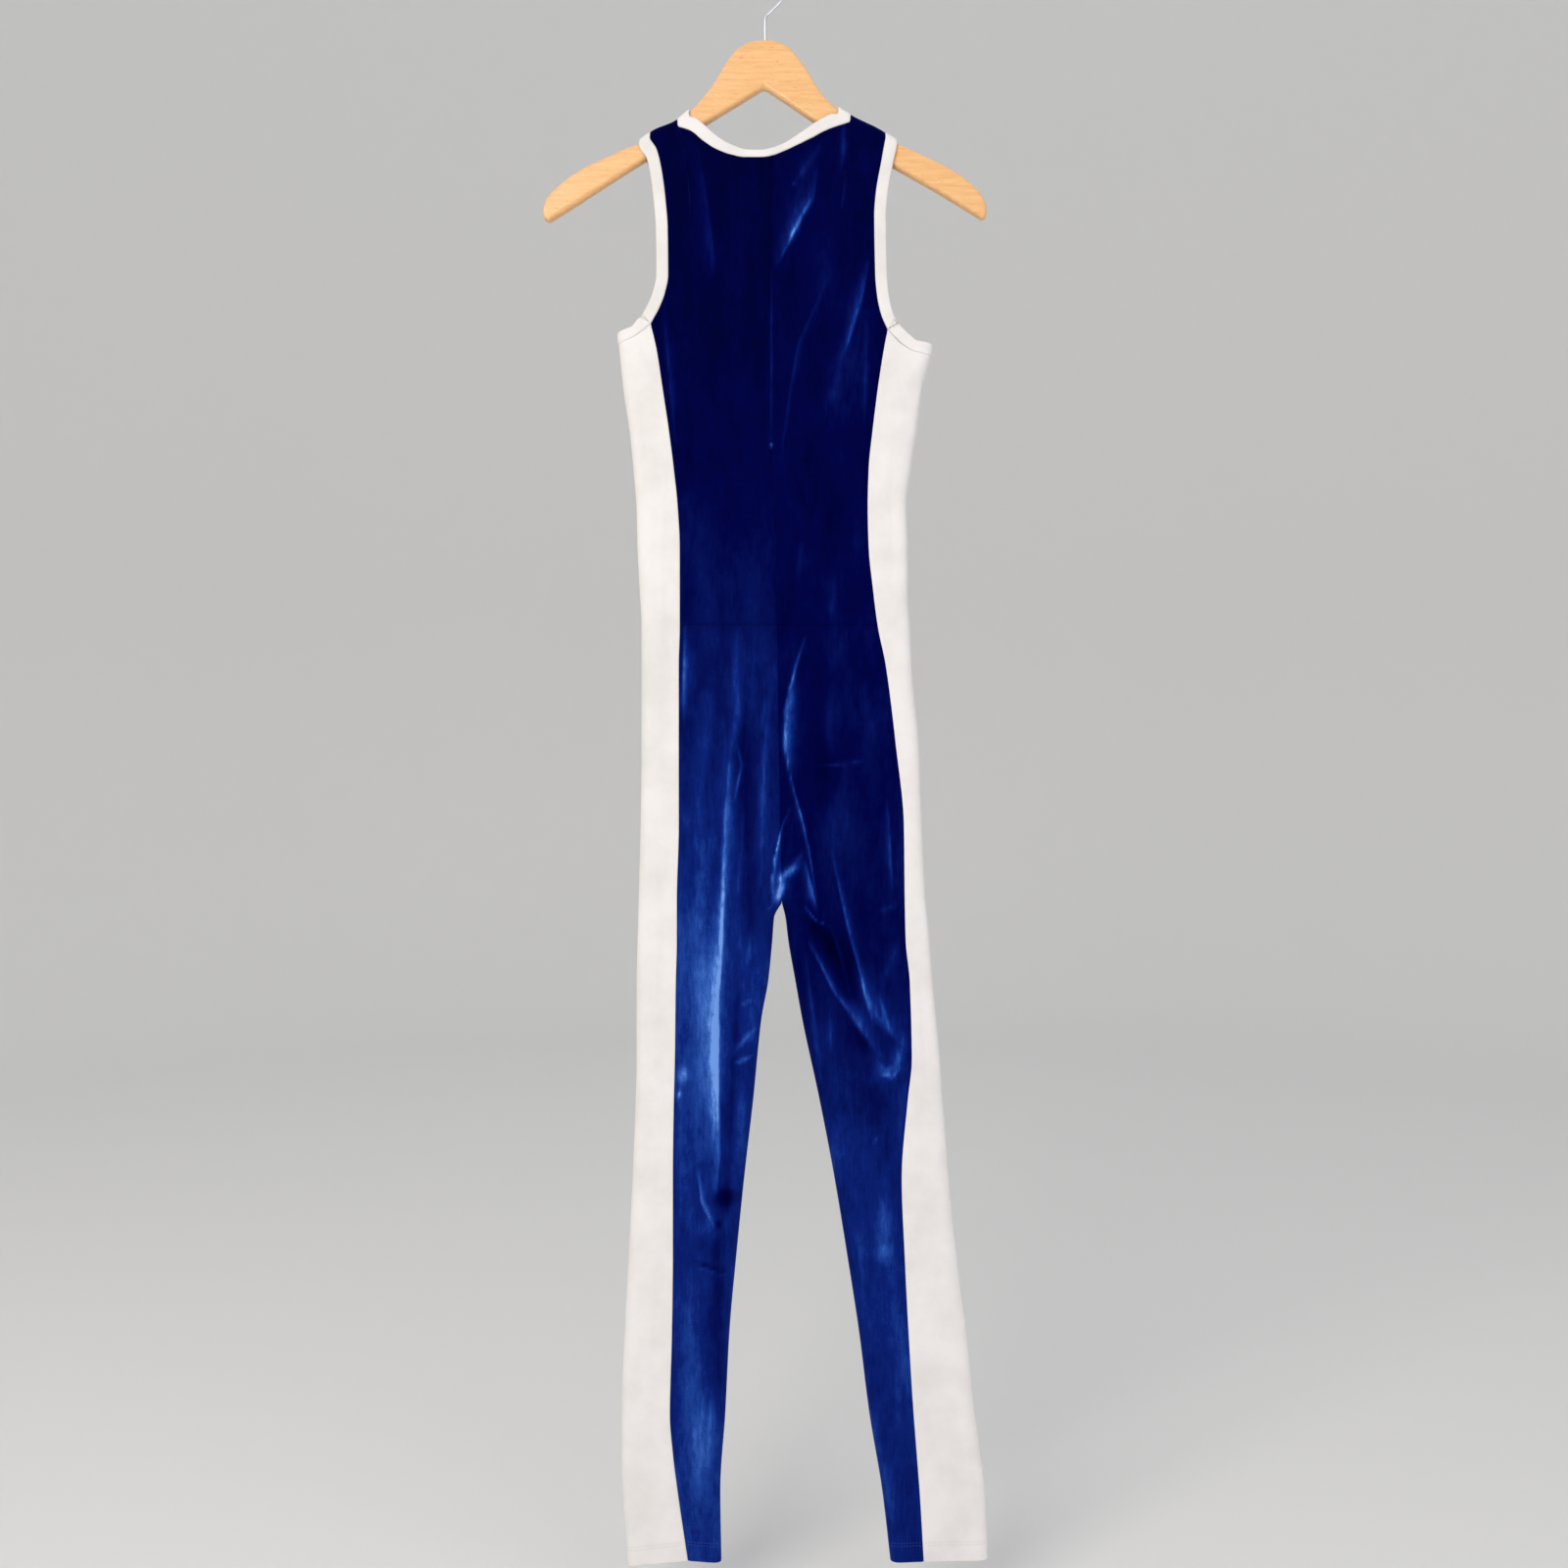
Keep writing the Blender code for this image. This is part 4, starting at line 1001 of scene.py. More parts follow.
@dataclass(frozen=True)
class StretchVelvet:
    """Knitted polyester velvet: a short dense pile on an elastic ground.

    The light and shade on the pile are painted into its colour: painted near-black shade where it faces the light
    square on, and painted bright blue highlights where a fold tips it, laid on the cloth as painted values and
    streaks, and upright tracks break it up a little.

    Attributes:
        name: The material's name.
        stops: The colour at each value, from painted shade on the darkest pile to a painted highlight on the
            brightest fold.
        noises: Each noise's width in millimetres, stretch downwards and strength. The streaks' own comes first.
        least: The share of its shine that a streak keeps on average.
        painted_rim_sheen: How much a painted sheen lightens the pile where the cloth turns away.
        painted_rim_power: How close to the edge that stays.
    """

    name: str = "polyester_stretch_velvet_knitted"
    stops: tuple = (
        (0.0, "#00001c"),
        (0.15, "#00012f"),
        (0.3, "#01033f"),
        (0.45, "#051052"),
        (0.6, "#0b2170"),
        (0.75, "#1c4094"),
        (0.9, "#3a66ba"),
        (1.0, "#6a94de"),
    )
    noises: tuple = ((4.0, 4.0, 0.6), (20.0, 4.0, 0.17), (2.6, 7.0, 0.08), (8.0, 1.6, 0.08), (0.9, 1.5, 0.09))
    least: float = 0.95
    painted_rim_sheen: float = 0.3
    painted_rim_power: float = 3.0

    def make(self) -> bpy.types.Material:
        """Makes the material."""
        made, shader = start_material(
            self.name,
            {
                "Roughness": 0.7,
                "Specular IOR Level": 0.06,
                "Specular Tint": linear("#3060ff"),
                "Sheen Weight": 0.12,
                "Sheen Roughness": 0.4,
                "Sheen Tint": linear("#2850d8"),
            },
        )
        tree = made.node_tree
        place = add_node(tree, "ShaderNodeTexCoord").outputs["Object"]
        parts = []
        for width, stretch, strength in self.noises:
            upright = add_node(tree, "ShaderNodeMapping", {"Vector": place, "Scale": (1.0, 1.0, 1 / stretch)})
            noise = add_node(
                tree,
                "ShaderNodeTexNoise",
                {"Vector": upright.outputs[0], "Scale": 1000 / width, "Detail": 3.0, "Roughness": 0.6},
            )
            spread = {"Value": noise.outputs[0], "From Min": 0.25, "From Max": 0.75}
            spread |= {"To Min": -strength / 2, "To Max": strength / 2}
            parts.append(add_node(tree, "ShaderNodeMapRange", spread, clamp=False).outputs[0])
        # Painted highlight and shade streaks, broken up a little by the first noise
        painted_light = add_node(tree, "ShaderNodeAttribute", attribute_name="painted_light").outputs["Fac"]
        uneven = add_node(tree, "ShaderNodeMath", {0: parts[0], 1: self.least}, operation="ADD").outputs[0]
        streaks = add_node(tree, "ShaderNodeMath", {0: painted_light, 1: uneven}, operation="MULTIPLY")
        parts[0] = streaks.outputs[0]
        # Painted sheen: the colour is lightened where the cloth turns away from the view
        facing = add_node(tree, "ShaderNodeLayerWeight", {"Blend": 0.35}).outputs["Facing"]
        steep = add_node(tree, "ShaderNodeMath", {0: facing, 1: self.painted_rim_power}, operation="POWER").outputs[0]
        turned = add_node(tree, "ShaderNodeMath", {0: steep, 1: self.painted_rim_sheen}, operation="MULTIPLY")
        parts.append(turned.outputs[0])
        # Painted light and shade down the garment, plus the painted streaks, the painted edge sheen and random
        # mottling, picks the colour from the ramp
        shown = add_node(tree, "ShaderNodeAttribute", attribute_name="tone").outputs["Fac"]
        for part in parts:
            shown = add_node(tree, "ShaderNodeMath", {0: shown, 1: part}, operation="ADD").outputs[0]
        ramp = add_node(tree, "ShaderNodeValToRGB", {"Fac": shown})
        set_ramp(ramp, self.stops)
        tree.links.new(ramp.outputs["Color"], shader.inputs["Base Color"])
        # The pile is about 0.1 mm across, drawn near 1 mm so that it shows.
        pile = add_node(tree, "ShaderNodeTexNoise", {"Vector": place, "Scale": 1100.0, "Detail": 2.0})
        raised = {"Height": pile.outputs[0], "Strength": 0.2, "Distance": 0.0003}
        bump = add_node(tree, "ShaderNodeBump", raised)
        tree.links.new(bump.outputs[0], shader.inputs["Normal"])
        return made


@dataclass(frozen=True)
class CottonJersey:
    """White single jersey: smooth, matte, with fine upright wales that only catch the light close up.

    Attributes:
        name: The material's name.
        code: Its colour.
        painted_shade: Its colour under painted soft shade, which a noise lays in random patches.
        wale: The distance between wales, in millimetres.
    """

    name: str = "elastane_jersey_knitted_white"
    code: str = "#e9e5e3"
    painted_shade: str = "#dedad7"
    wale: float = 2.4

    def make(self) -> bpy.types.Material:
        """Makes the material."""
        made, shader = start_material(
            self.name,
            {
                "Roughness": 0.82,
                "Specular IOR Level": 0.25,
                "Sheen Weight": 0.15,
                "Sheen Roughness": 0.5,
            },
        )
        tree = made.node_tree
        cloth = add_node(tree, "ShaderNodeAttribute", attribute_name="cloth")
        place = add_node(tree, "ShaderNodeTexCoord")
        soft = add_node(
            tree,
            "ShaderNodeTexNoise",
            {"Vector": place.outputs["Object"], "Scale": 22.0, "Detail": 4.0, "Roughness": 0.6},
        )
        # Random soft patches of painted shade, between the plain colour and the darker one
        ramp = add_node(tree, "ShaderNodeValToRGB", {"Fac": soft.outputs[0]})
        set_ramp(ramp, ((0.3, self.painted_shade), (0.62, self.code)))
        tree.links.new(ramp.outputs["Color"], shader.inputs["Base Color"])
        # Real wales are about 0.5 mm apart, drawn at 2.4 mm so that they show.
        wales = add_node(
            tree,
            "ShaderNodeTexWave",
            {"Vector": cloth.outputs["Vector"], "Scale": WAVE_LONG / (self.wale * MM), "Distortion": 0.8},
            wave_type="BANDS",
            bands_direction="X",
        )
        bump = add_node(
            tree, "ShaderNodeBump", {"Height": wales.outputs[1], "Strength": 0.12, "Distance": 0.0002}
        )
        tree.links.new(bump.outputs[0], shader.inputs["Normal"])
        return made


@dataclass(frozen=True)
class VarnishedBeech:
    """Steamed beech under clear varnish: warm and even, with long faint grain and short dark ray flecks.

    Attributes:
        name: The material's name.
        pale: Its early wood.
        dark: Its late wood.
        grain: The grain lines' width, in millimetres.
    """

    name: str = "beech_sawn_and_varnished"
    pale: str = "#f0bd82"
    dark: str = "#e5ab6c"
    grain: float = 2.6

    def make(self) -> bpy.types.Material:
        """Makes the material."""
        made, shader = start_material(
            self.name,
            {"Roughness": 0.42, "Coat Weight": 0.35, "Coat Roughness": 0.22},
        )
        tree = made.node_tree
        place = add_node(tree, "ShaderNodeTexCoord")
        lying = add_node(
            tree, "ShaderNodeMapping", {"Vector": place.outputs["Object"], "Scale": (0.09, 1.0, 1.0)}
        )
        lines = add_node(
            tree,
            "ShaderNodeTexNoise",
            {"Vector": lying.outputs[0], "Scale": 1000 / self.grain, "Detail": 5.0, "Roughness": 0.55},
        )
        ramp = add_node(tree, "ShaderNodeValToRGB", {"Fac": lines.outputs[0]})
        set_ramp(ramp, ((0.32, self.dark), (0.66, self.pale)))
        short = add_node(
            tree, "ShaderNodeMapping", {"Vector": place.outputs["Object"], "Scale": (0.25, 1.0, 1.0)}
        )
        flecks = add_node(
            tree, "ShaderNodeTexNoise", {"Vector": short.outputs[0], "Scale": 900.0, "Detail": 1.0}
        )
        few = add_node(tree, "ShaderNodeValToRGB", {"Fac": flecks.outputs[0]})
        set_ramp(few, ((0.66, "#ffffff"), (0.76, "#dcb488")))
        mixed = add_node(
            tree,
            "ShaderNodeMix",
            {0: 0.55, 6: ramp.outputs["Color"], 7: few.outputs["Color"]},
            data_type="RGBA",
            blend_type="MULTIPLY",
        )
        tree.links.new(mixed.outputs[2], shader.inputs["Base Color"])
        bump = add_node(
            tree, "ShaderNodeBump", {"Height": lines.outputs[0], "Strength": 0.12, "Distance": 0.0003}
        )
        tree.links.new(bump.outputs[0], shader.inputs["Normal"])
        return made


@dataclass(frozen=True)
class ZincWire:
    """Drawn steel wire, zinc plated: bright, slightly milky, with faint lines along it."""

    name: str = "steel_wire_zinc_plated"
    code: str = "#dcdde0"

    def make(self) -> bpy.types.Material:
        """Makes the material."""
        made, shader = start_material(self.name, {"Base Color": linear(self.code), "Metallic": 1.0})
        tree = made.node_tree
        place = add_node(tree, "ShaderNodeTexCoord")
        milky = add_node(
            tree, "ShaderNodeTexNoise", {"Vector": place.outputs["Object"], "Scale": 400.0, "Detail": 3.0}
        )
        rough = add_node(
            tree,
            "ShaderNodeMapRange",
            {"Value": milky.outputs[0], "To Min": 0.22, "To Max": 0.42},
        )
        tree.links.new(rough.outputs[0], shader.inputs["Roughness"])
        return made


@dataclass(frozen=True)
class SewingThread:
    """Spun polyester thread with a soft sheen.

    Attributes:
        name: The material's name.
        code: Its colour.
    """

    name: str
    code: str

    def make(self) -> bpy.types.Material:
        """Makes the material."""
        made, shader = start_material(
            self.name, {"Base Color": linear(self.code), "Roughness": 0.6, "Sheen Weight": 0.3}
        )
        tree = made.node_tree
        place = add_node(tree, "ShaderNodeTexCoord")
        twist = add_node(tree, "ShaderNodeTexWave", {"Vector": place.outputs["Object"], "Scale": 900.0})
        raised = {"Height": twist.outputs[1], "Strength": 0.3, "Distance": 0.0001}
        bump = add_node(tree, "ShaderNodeBump", raised)
        tree.links.new(bump.outputs[0], shader.inputs["Normal"])
        return made


# A wave texture's repeat at a scale of 1
WAVE_LONG = math.tau / 20

VELVET_SLOT = "blue_stretch_velvet"
JERSEY_SLOT = "white_jersey"


def dress(
    piece: bpy.types.Object,
    stuff: bpy.types.Material,
    node: str | None,
) -> None:
    """Gives a piece its material, hangs it from the root, and hides the solid that it replaces.

    Args:
        piece: The piece.
        stuff: Its material.
        node: The solid that it replaces, if any.
    """
    piece.data.materials.append(stuff)
    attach(piece, "root")
    if node:
        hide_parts(node)
    log.info("%s: %d faces", piece.name, len(piece.data.polygons))


OUT = {Face.FRONT: Vector((0, -1, 0)), Face.BACK: Vector((0, 1, 0))}
SEAM_STEPS = (0.0, 0.5, 1.1, 1.9, 3.0, 4.4)
FOLD_STEPS = np.linspace(0, 1, 9) ** 2.3


@dataclass
class BandPath:
    """One half of an opening's seam, and the way across the band that is sewn to it.

    Attributes:
        form: The cloth's surface.
        side: The half of the garment.
        places: The seam's places, from the shoulder's top, each an x and a drop.
        outward: 1 or -1, the way across along x.
        end_way: The way across at its last place.
        tab: How much wider the band is where it goes over the board.
    """

    form: Form
    side: Side
    places: np.ndarray
    outward: int
    end_way: tuple[float, float] = (0.0, -1.0)
    tab: float = 0.12

    def across(self, far: np.ndarray) -> np.ndarray:
        """Gives places across the band.

        Args:
            far: Distances from the seam, for every place or for each.

        Returns:
            A place for each seam place and distance.
        """
        form, turn = self.form, 25.0
        run = np.gradient(self.places, axis=0)
        run /= np.linalg.norm(run, axis=1, keepdims=True)
        way = self.outward * np.stack([run[:, 1], -run[:, 0]], axis=1)
        way[-1] = self.end_way
        x, drop = self.places[:, :1], self.places[:, 1:]
        below = drop - form.top_drop(x)
        on_top = np.clip(1 - (below - form.top_round) / turn, 0, 1)
        on_top = on_top * on_top * (3 - 2 * on_top)
        far = far * (1 + self.tab * on_top)
        edge = form.edges[self.side]
        near_fold = np.clip(2 - np.abs(x - edge(drop)) / form.edge_round, 0, 1)
        flat_drop = drop + way[:, 1:] * far
        follow = near_fold * (edge(flat_drop) - edge(drop))
        flat_x = x + way[:, :1] * far * (1 - near_fold) + follow
        slope = (form.top_drop(x + 1) - form.top_drop(x - 1)) / 2
        over_x = x + self.outward * far / np.hypot(1, slope)
        over_drop = form.top_drop(over_x) + below
        return np.stack([lerp(flat_x, over_x, on_top), lerp(flat_drop, over_drop, on_top)], axis=-1)


@dataclass
class Openings:
    """The seams round the neck and the armholes.

    Attributes:
        form: The cloth's surface.
        step: The distance between places along a seam.
    """

    form: Form
    step: float = 2.5

    def __post_init__(self) -> None:
        """Finds the way across the neck band at its centre, square to the seam."""
        at, step = float(self.form.centre(np.array(152.0))), 2.0
        before, after = self.form.neckline(np.array([at - step, at + step]))
        slope = (after - before) / (2 * step)
        self.end_way = (slope / math.hypot(1, slope), -1 / math.hypot(1, slope))

    def over_board(self, x: float) -> np.ndarray:
        """Gives the places where a seam at x goes over the board, down to where the cloth lies flat."""
        top = float(self.form.top_drop(np.array(x)))
        return np.array([(x, top + share * self.form.top_round) for share in FOLD_STEPS[:-1]])

    def neck(self, side: Side) -> BandPath:
        """Gives the half of the neck seam on one side, from the shoulder to the centre."""
        centre = float(self.form.centre(np.array(152.0)))
        corner, lean, nearest = NECK_CORNERS[side], 1.5, 4.0
        start_x = corner - side.value * lean
        start = (start_x, float(self.form.top_drop(np.array(corner))) + self.form.top_round)
        out = side.value
        kept = [p for p in NECKLINE if out * (p[0] - centre) > 0 and out * (start_x - p[0]) > nearest]
        kept.sort(key=lambda p: -side.value * p[0])
        path = [start, *kept, (centre, float(self.form.neckline(np.array(centre))))]
        count = int(along(np.array(path))[-1] / self.step)
        return BandPath(
            self.form,
            side,
            np.concatenate([self.over_board(corner), smooth_path(path, count)]),
            -side.value,
            self.end_way,
        )

    def arm(self, side: Side) -> BandPath:
        """Gives the half of an armhole seam on one face, from the shoulder to the fold under the arm."""
        tip, lean, nearest = SHOULDER_TIPS[side], 0.6, 4.0
        start = (tip - side.value * lean, float(self.form.top_drop(np.array(tip))) + self.form.top_round)
        path = [start, *(p for p in ARMHOLES[side] if p[1] > start[1] + nearest)]
        count = int(along(np.array(path))[-1] / self.step)
        down = smooth_path(path, count)
        return BandPath(
            self.form, side, np.concatenate([self.over_board(tip), down, self.underarm(side)[1:]]), side.value
        )

    def underarm(self, side: Side) -> np.ndarray:
        """Gives the places of the armhole seam over the side panel, from its front seam to the fold."""
        line = Curve(*columns_of(UNDERARMS[side]))
        away = np.array(SidePanel.away_steps(self.form, side, ARMHOLES[side][-1][1]))
        drop = line(away)
        return np.stack([self.form.edges[side](drop) - side.value * away, drop], axis=1)


@dataclass
class Bodice:
    """The velvet above the waist: two halves at the front and one piece at the back.

    Attributes:
        form: The cloth's surface.
        openings: The neck and armhole seams.
        steps: The distances between a half's points, across and down, on each face.
    """

    form: Form
    openings: Openings
    steps: dict = field(default_factory=lambda: {Face.FRONT: (0.9, 3.2), Face.BACK: (2.2, 3.6)})

    def plan(self, side: Side, face: Face) -> np.ndarray:
        """Gives the places over one half, in rows down from the neck and shoulder.

        Args:
            side: The half.
            face: The layer.

        Returns:
            Rows of places, each from the centre seam to the armhole or the side seam.
        """
        form = self.form
        neck = self.openings.neck(side).places[::-1]
        tip = SHOULDER_TIPS[side]
        xs = np.linspace(neck[-1, 0], tip, 20)
        shoulder = np.stack([xs, form.top_drop(xs)], axis=1)
        top = np.concatenate([neck, shoulder[1:]])
        arm = self.openings.arm(side).places
        arm = arm[: len(arm) - len(self.openings.underarm(side)) + 1]
        drops = np.linspace(arm[-1, 1], form.waist, 60)
        side_seam = np.stack([form.seams[side](drops), drops], axis=1)
        outer = np.concatenate([arm, side_seam[1:]])
        step_across, step_down = self.steps[face]
        u = graded(along(top)[-1], step_across, SEAM_STEPS)
        v = graded(along(outer)[-1], step_down, SEAM_STEPS)
        top, outer = resample(top, u), resample(outer, v)
        inner_drop = lerp(top[0, 1], form.waist, v)
        inside = np.stack([form.centre(inner_drop), inner_drop], axis=1)
        bottom = inside[-1] + (outer[-1] - inside[-1]) * u[:, None]
        u, v = u[None, :, None], v[:, None, None]
        down = lerp(top[None], bottom[None], v)
        over = lerp(inside[:, None], outer[:, None], u)
        corners = lerp(lerp(top[0], bottom[0], v), lerp(top[-1], bottom[-1], v), u)
        return down + over - corners

    def half(self, side: Side, face: Face) -> ClothGrid:
        """Gives one half of one face."""
        plan = self.plan(side, face)
        return ClothGrid(*self.form.surface(side, face, plan[..., 0], plan[..., 1]))

    def build(self, velvet: bpy.types.Material) -> None:
        """Makes the three pieces."""
        for side in Side:
            grid = self.half(side, Face.FRONT)
            grid.sink_edges(grid.normals(np.array(OUT[Face.FRONT])), "lrtb")
            piece = grid.mesh(f"velvet_front_bodice_{side.name.lower()}", OUT[Face.FRONT])
            thicken(piece)
            node = f"front_bodice_{side.name.lower()}"
            dress(piece, velvet, node)
        left, right = self.half(Side.LEFT, Face.BACK), self.half(Side.RIGHT, Face.BACK)
        rows = min(len(left.points), len(right.points))
        halves = []
        for grid in (left, right):
            pick = np.round(np.linspace(0, len(grid.points) - 1, rows)).astype(int)
            halves.append((grid.points[pick], grid.tone[pick], grid.painted_light[pick]))
        joined = []
        for left_half, right_half in zip(*halves):
            middle = (left_half[:, :1] + right_half[:, :1]) / 2
            joined.append(np.concatenate([left_half[:, :0:-1], middle, right_half[:, 1:]], axis=1))
        grid = ClothGrid(*joined)
        grid.sink_edges(grid.normals(np.array(OUT[Face.BACK])), "lrtb")
        piece = grid.mesh("velvet_back_bodice", OUT[Face.BACK])
        thicken(piece)
        dress(piece, velvet, "back_bodice")


@dataclass
class Legs:
    """The velvet below the waist: a front and a back piece for each leg.

    Attributes:
        form: The cloth's surface.
        steps: The distances between a piece's points, across and down, on each face.
    """

    form: Form
    steps: dict = field(default_factory=lambda: {Face.FRONT: (0.85, 3.2), Face.BACK: (2.0, 3.8)})

    def grid(self, side: Side, face: Face) -> ClothGrid:
        """Gives one leg piece, in rows from the side seam to the centre seam or the inner edge."""
        form = self.form
        _, seam_hem, inner_hem = HEMS[side]
        step_across, step_down = self.steps[face]
        rows = graded(form.hem - form.waist, step_down, SEAM_STEPS)[:, None]
        seam_drop = form.waist + rows * (form.hem + seam_hem - form.waist)
        inner_drop = form.waist + rows * (form.hem + inner_hem - form.waist)
        seam = form.seams[side](seam_drop)
        inner = form.inner(side, inner_drop)
        flat = inner + side.value * form.inner_round
        lying = graded(90.0, step_across, SEAM_STEPS)
        lying = lying[: np.searchsorted(lying, 1 - SEAM_STEPS[-1] / 90.0)]
        lying = lying / lying[-1]
        folded = inner + side.value * form.inner_round * FOLD_STEPS[-2::-1]
        xs = np.concatenate([lerp(seam, flat, lying), folded], axis=1)
        drop = lerp(seam_drop, inner_drop, (xs - seam) / (inner - seam))
        return ClothGrid(*form.surface(side, face, xs, drop))

    def build(self, velvet: bpy.types.Material) -> None:
        """Makes the four pieces."""
        for face in Face:
            for side in Side:
                grid = self.grid(side, face)
                grid.sink_edges(grid.normals(np.array(OUT[face])), "lrt", depth=0.8)
                grid.turn_hem(grid.normals(np.array(OUT[face])))
                name = f"{face.name.lower()}_leg_{side.name.lower()}"
                piece = grid.mesh(f"velvet_{name}", OUT[face])
                thicken(piece)
                dress(piece, velvet, name)


@dataclass
class SidePanel:
    """A white side panel, from its front seam round the outer fold to its back seam.

    Attributes:
        form: The cloth's surface.
        side: Which one.
        step: The distance between its rows.
    """

    form: Form
    side: Side
    step: float = 3.0

    @staticmethod
    def away_steps(form: Form, side: Side, drop: float) -> list[float]:
        """Gives the columns' distances from the fold at a drop, from the seam to the fold."""
        seam = abs(float(form.seams[side](np.array(drop)) - form.edges[side](np.array(drop))))
        flat = [step for step in SEAM_STEPS if step < seam - form.edge_round]
        lying = np.linspace(flat[-1], seam - form.edge_round, 14)
        folded = form.edge_round * FOLD_STEPS[::-1]
        return [*(seam - np.array(flat[:-1])), *(seam - lying), *folded[1:]]

    def build(self, jersey: bpy.types.Material) -> None:
        """Makes the panel."""
        form, side = self.form, self.side
        fold_hem, seam_hem, _ = HEMS[side]
        top = ARMHOLES[side][-1][1]
        away = np.array(self.away_steps(form, side, top))
        share = away / away[0]
        line = Curve(*columns_of(UNDERARMS[side]))
        high = line(away)
        low = form.hem + lerp(fold_hem, seam_hem, share)
        rows = graded(form.hem - top, self.step, SEAM_STEPS)[:, None]
        drop = lerp(high, low, rows)
        wide = np.abs(form.seams[side](drop) - form.edges[side](drop))
        flat_share = np.clip((away - form.edge_round) / (away[0] - form.edge_round), 0, 1)
        spread = np.minimum(away, form.edge_round) + flat_share * (wide - form.edge_round)
        x = form.edges[side](drop) - side.value * spread
        faces = zip(form.surface(side, Face.FRONT, x, drop), form.surface(side, Face.BACK, x, drop))
        grid = ClothGrid(*(np.concatenate([front, back[:, -2::-1]], axis=1) for front, back in faces))
        points = grid.points
        middle = points[:, len(away) // 3].mean(axis=0)
        out_to = np.array((0.0, -1.0, 0.0))
        normals = grid.normals(out_to)
        if (normals[:, : len(away) // 2] @ out_to).mean() < 0:
            normals = -normals
        grid.sink_edges(normals, "lrt", depth=0.5)
        grid.turn_hem(normals)
        piece = grid.mesh(f"jersey_side_panel_{side.name.lower()}", Vector((0, -1, 0)))
        self.face_out(piece, Vector(middle) * MM)
        thicken(piece)
        dress(piece, jersey, f"side_panel_{side.name.lower()}")

    @staticmethod
    def face_out(piece: bpy.types.Object, near: Vector) -> None:
        """Turns a panel's faces so that the one nearest a point on its front faces forwards."""
        nearest = min(piece.data.polygons, key=lambda p: (p.center - near).length)
        if nearest.normal.y > 0:
            piece.data.flip_normals()


@dataclass
class HemStitching:
    """The twin row of small stitches round a piece's hem.

    Attributes:
        form: The cloth's surface.
        high: How far above the fold the rows are.
        apart: The distance between the rows.
        long: A stitch's length.
        pitch: The distance from one stitch to the next.
        wide: A stitch's width.
        stands: How far its middle stands out of the cloth.
    """

    form: Form
    high: float = 16.0
    apart: float = 3.0
    long: float = 2.1
    pitch: float = 3.1
    wide: float = 0.55
    stands: float = 0.28

    def row(self, side: Side, face: Face, ends: tuple[float, float], drops: tuple[float, float]) -> np.ndarray:
        """Gives the points along one row on one face.

        Args:
            side: The leg.
            face: The layer.
            ends: The x where it starts and stops.
            drops: The drop at each.

        Returns:
            The points, half a stitch apart.
        """
        share = np.linspace(0, 1, 200)
        points, *_ = self.form.surface(side, face, lerp(*ends, share), lerp(*drops, share))
        count = int(along(points)[-1] // self.pitch)
        starts = (np.arange(count) + 0.5) * self.pitch
        places = (starts[:, None] + np.linspace(-0.5, 0.5, 5) * self.long) / along(points)[-1]
        return resample(points, places.ravel()).reshape(count, 5, 3)

    def build(self, name: str, thread: bpy.types.Material, slot: str, spans: list[tuple]) -> None:
        """Makes the stitches of one stuff.

        Args:
            name: The piece's name.
            thread: Its material.
            slot: The record's material slot; not used.
            spans: For each run of the rows, its side, face, ends and drops.
        """
        verts, faces = [], []
        swell = np.sin(np.pi * np.linspace(0.1, 0.9, 5))
        for side, face, ends, drops in spans:
            for k in range(2):
                lift = self.high + k * self.apart
                out = np.array((0.0, face.value, 0.0))
                for stitch in self.row(side, face, ends, (drops[0] - lift, drops[1] - lift)):
                    first = len(verts)
                    for place, full in zip(stitch, swell):
                        up = np.array((0.0, 0.0, 1.0)) * self.wide / 2 * full
                        top = place + out * self.stands * full
                        verts += [tuple((place - out * 0.2 + up) * MM), tuple((top + up * 0.4) * MM)]
                        verts += [tuple((top - up * 0.4) * MM), tuple((place - out * 0.2 - up) * MM)]
                    faces.append((first + 3, first + 2, first + 1, first))
                    for j in range(4):
                        a = first + 4 * j
                        faces += [(a + n, a + (n + 1) % 4, a + 4 + (n + 1) % 4, a + 4 + n) for n in range(4)]
                    faces.append(tuple(first + 16 + n for n in range(4)))
        mesh = bpy.data.meshes.new(name)
        mesh.from_pydata(verts, [], faces)
        piece = bpy.data.objects.new(name, mesh)
        bpy.context.scene.collection.objects.link(piece)
        solid = bmesh.new()
        solid.from_mesh(mesh)
        bmesh.ops.recalc_face_normals(solid, faces=solid.faces)
        solid.to_mesh(mesh)
        solid.free()
        mesh.shade_smooth()
        dress(piece, thread, None)

    def make_rows(self) -> None:
        """Makes the velvet's and the jersey's stitches."""
        form = self.form
        velvet_spans, jersey_spans = [], []
        for side in Side:
            fold_hem, seam_hem, inner_hem = HEMS[side]
            low = np.array(form.hem - self.high)
            seam, inner = float(form.seams[side](low)), float(form.inner(side, low))
            fold = float(form.edges[side](low))
            inward, outward = side.value * 1.6, side.value * 2.2
            velvet = ((seam - inward, inner + inward), (form.hem + seam_hem, form.hem + inner_hem))
            jersey = ((fold - outward, seam + inward), (form.hem + fold_hem, form.hem + seam_hem))
            velvet_spans += [(side, face, *velvet) for face in Face]
            jersey_spans += [(side, face, *jersey) for face in Face]
        blue = SewingThread("blue_polyester_thread", "#1a3f9c")
        white = SewingThread("white_polyester_thread", "#c6c1be")
        self.build("velvet_hem_stitches", blue.make(), VELVET_SLOT, velvet_spans)
        self.build("jersey_hem_stitches", white.make(), JERSEY_SLOT, jersey_spans)


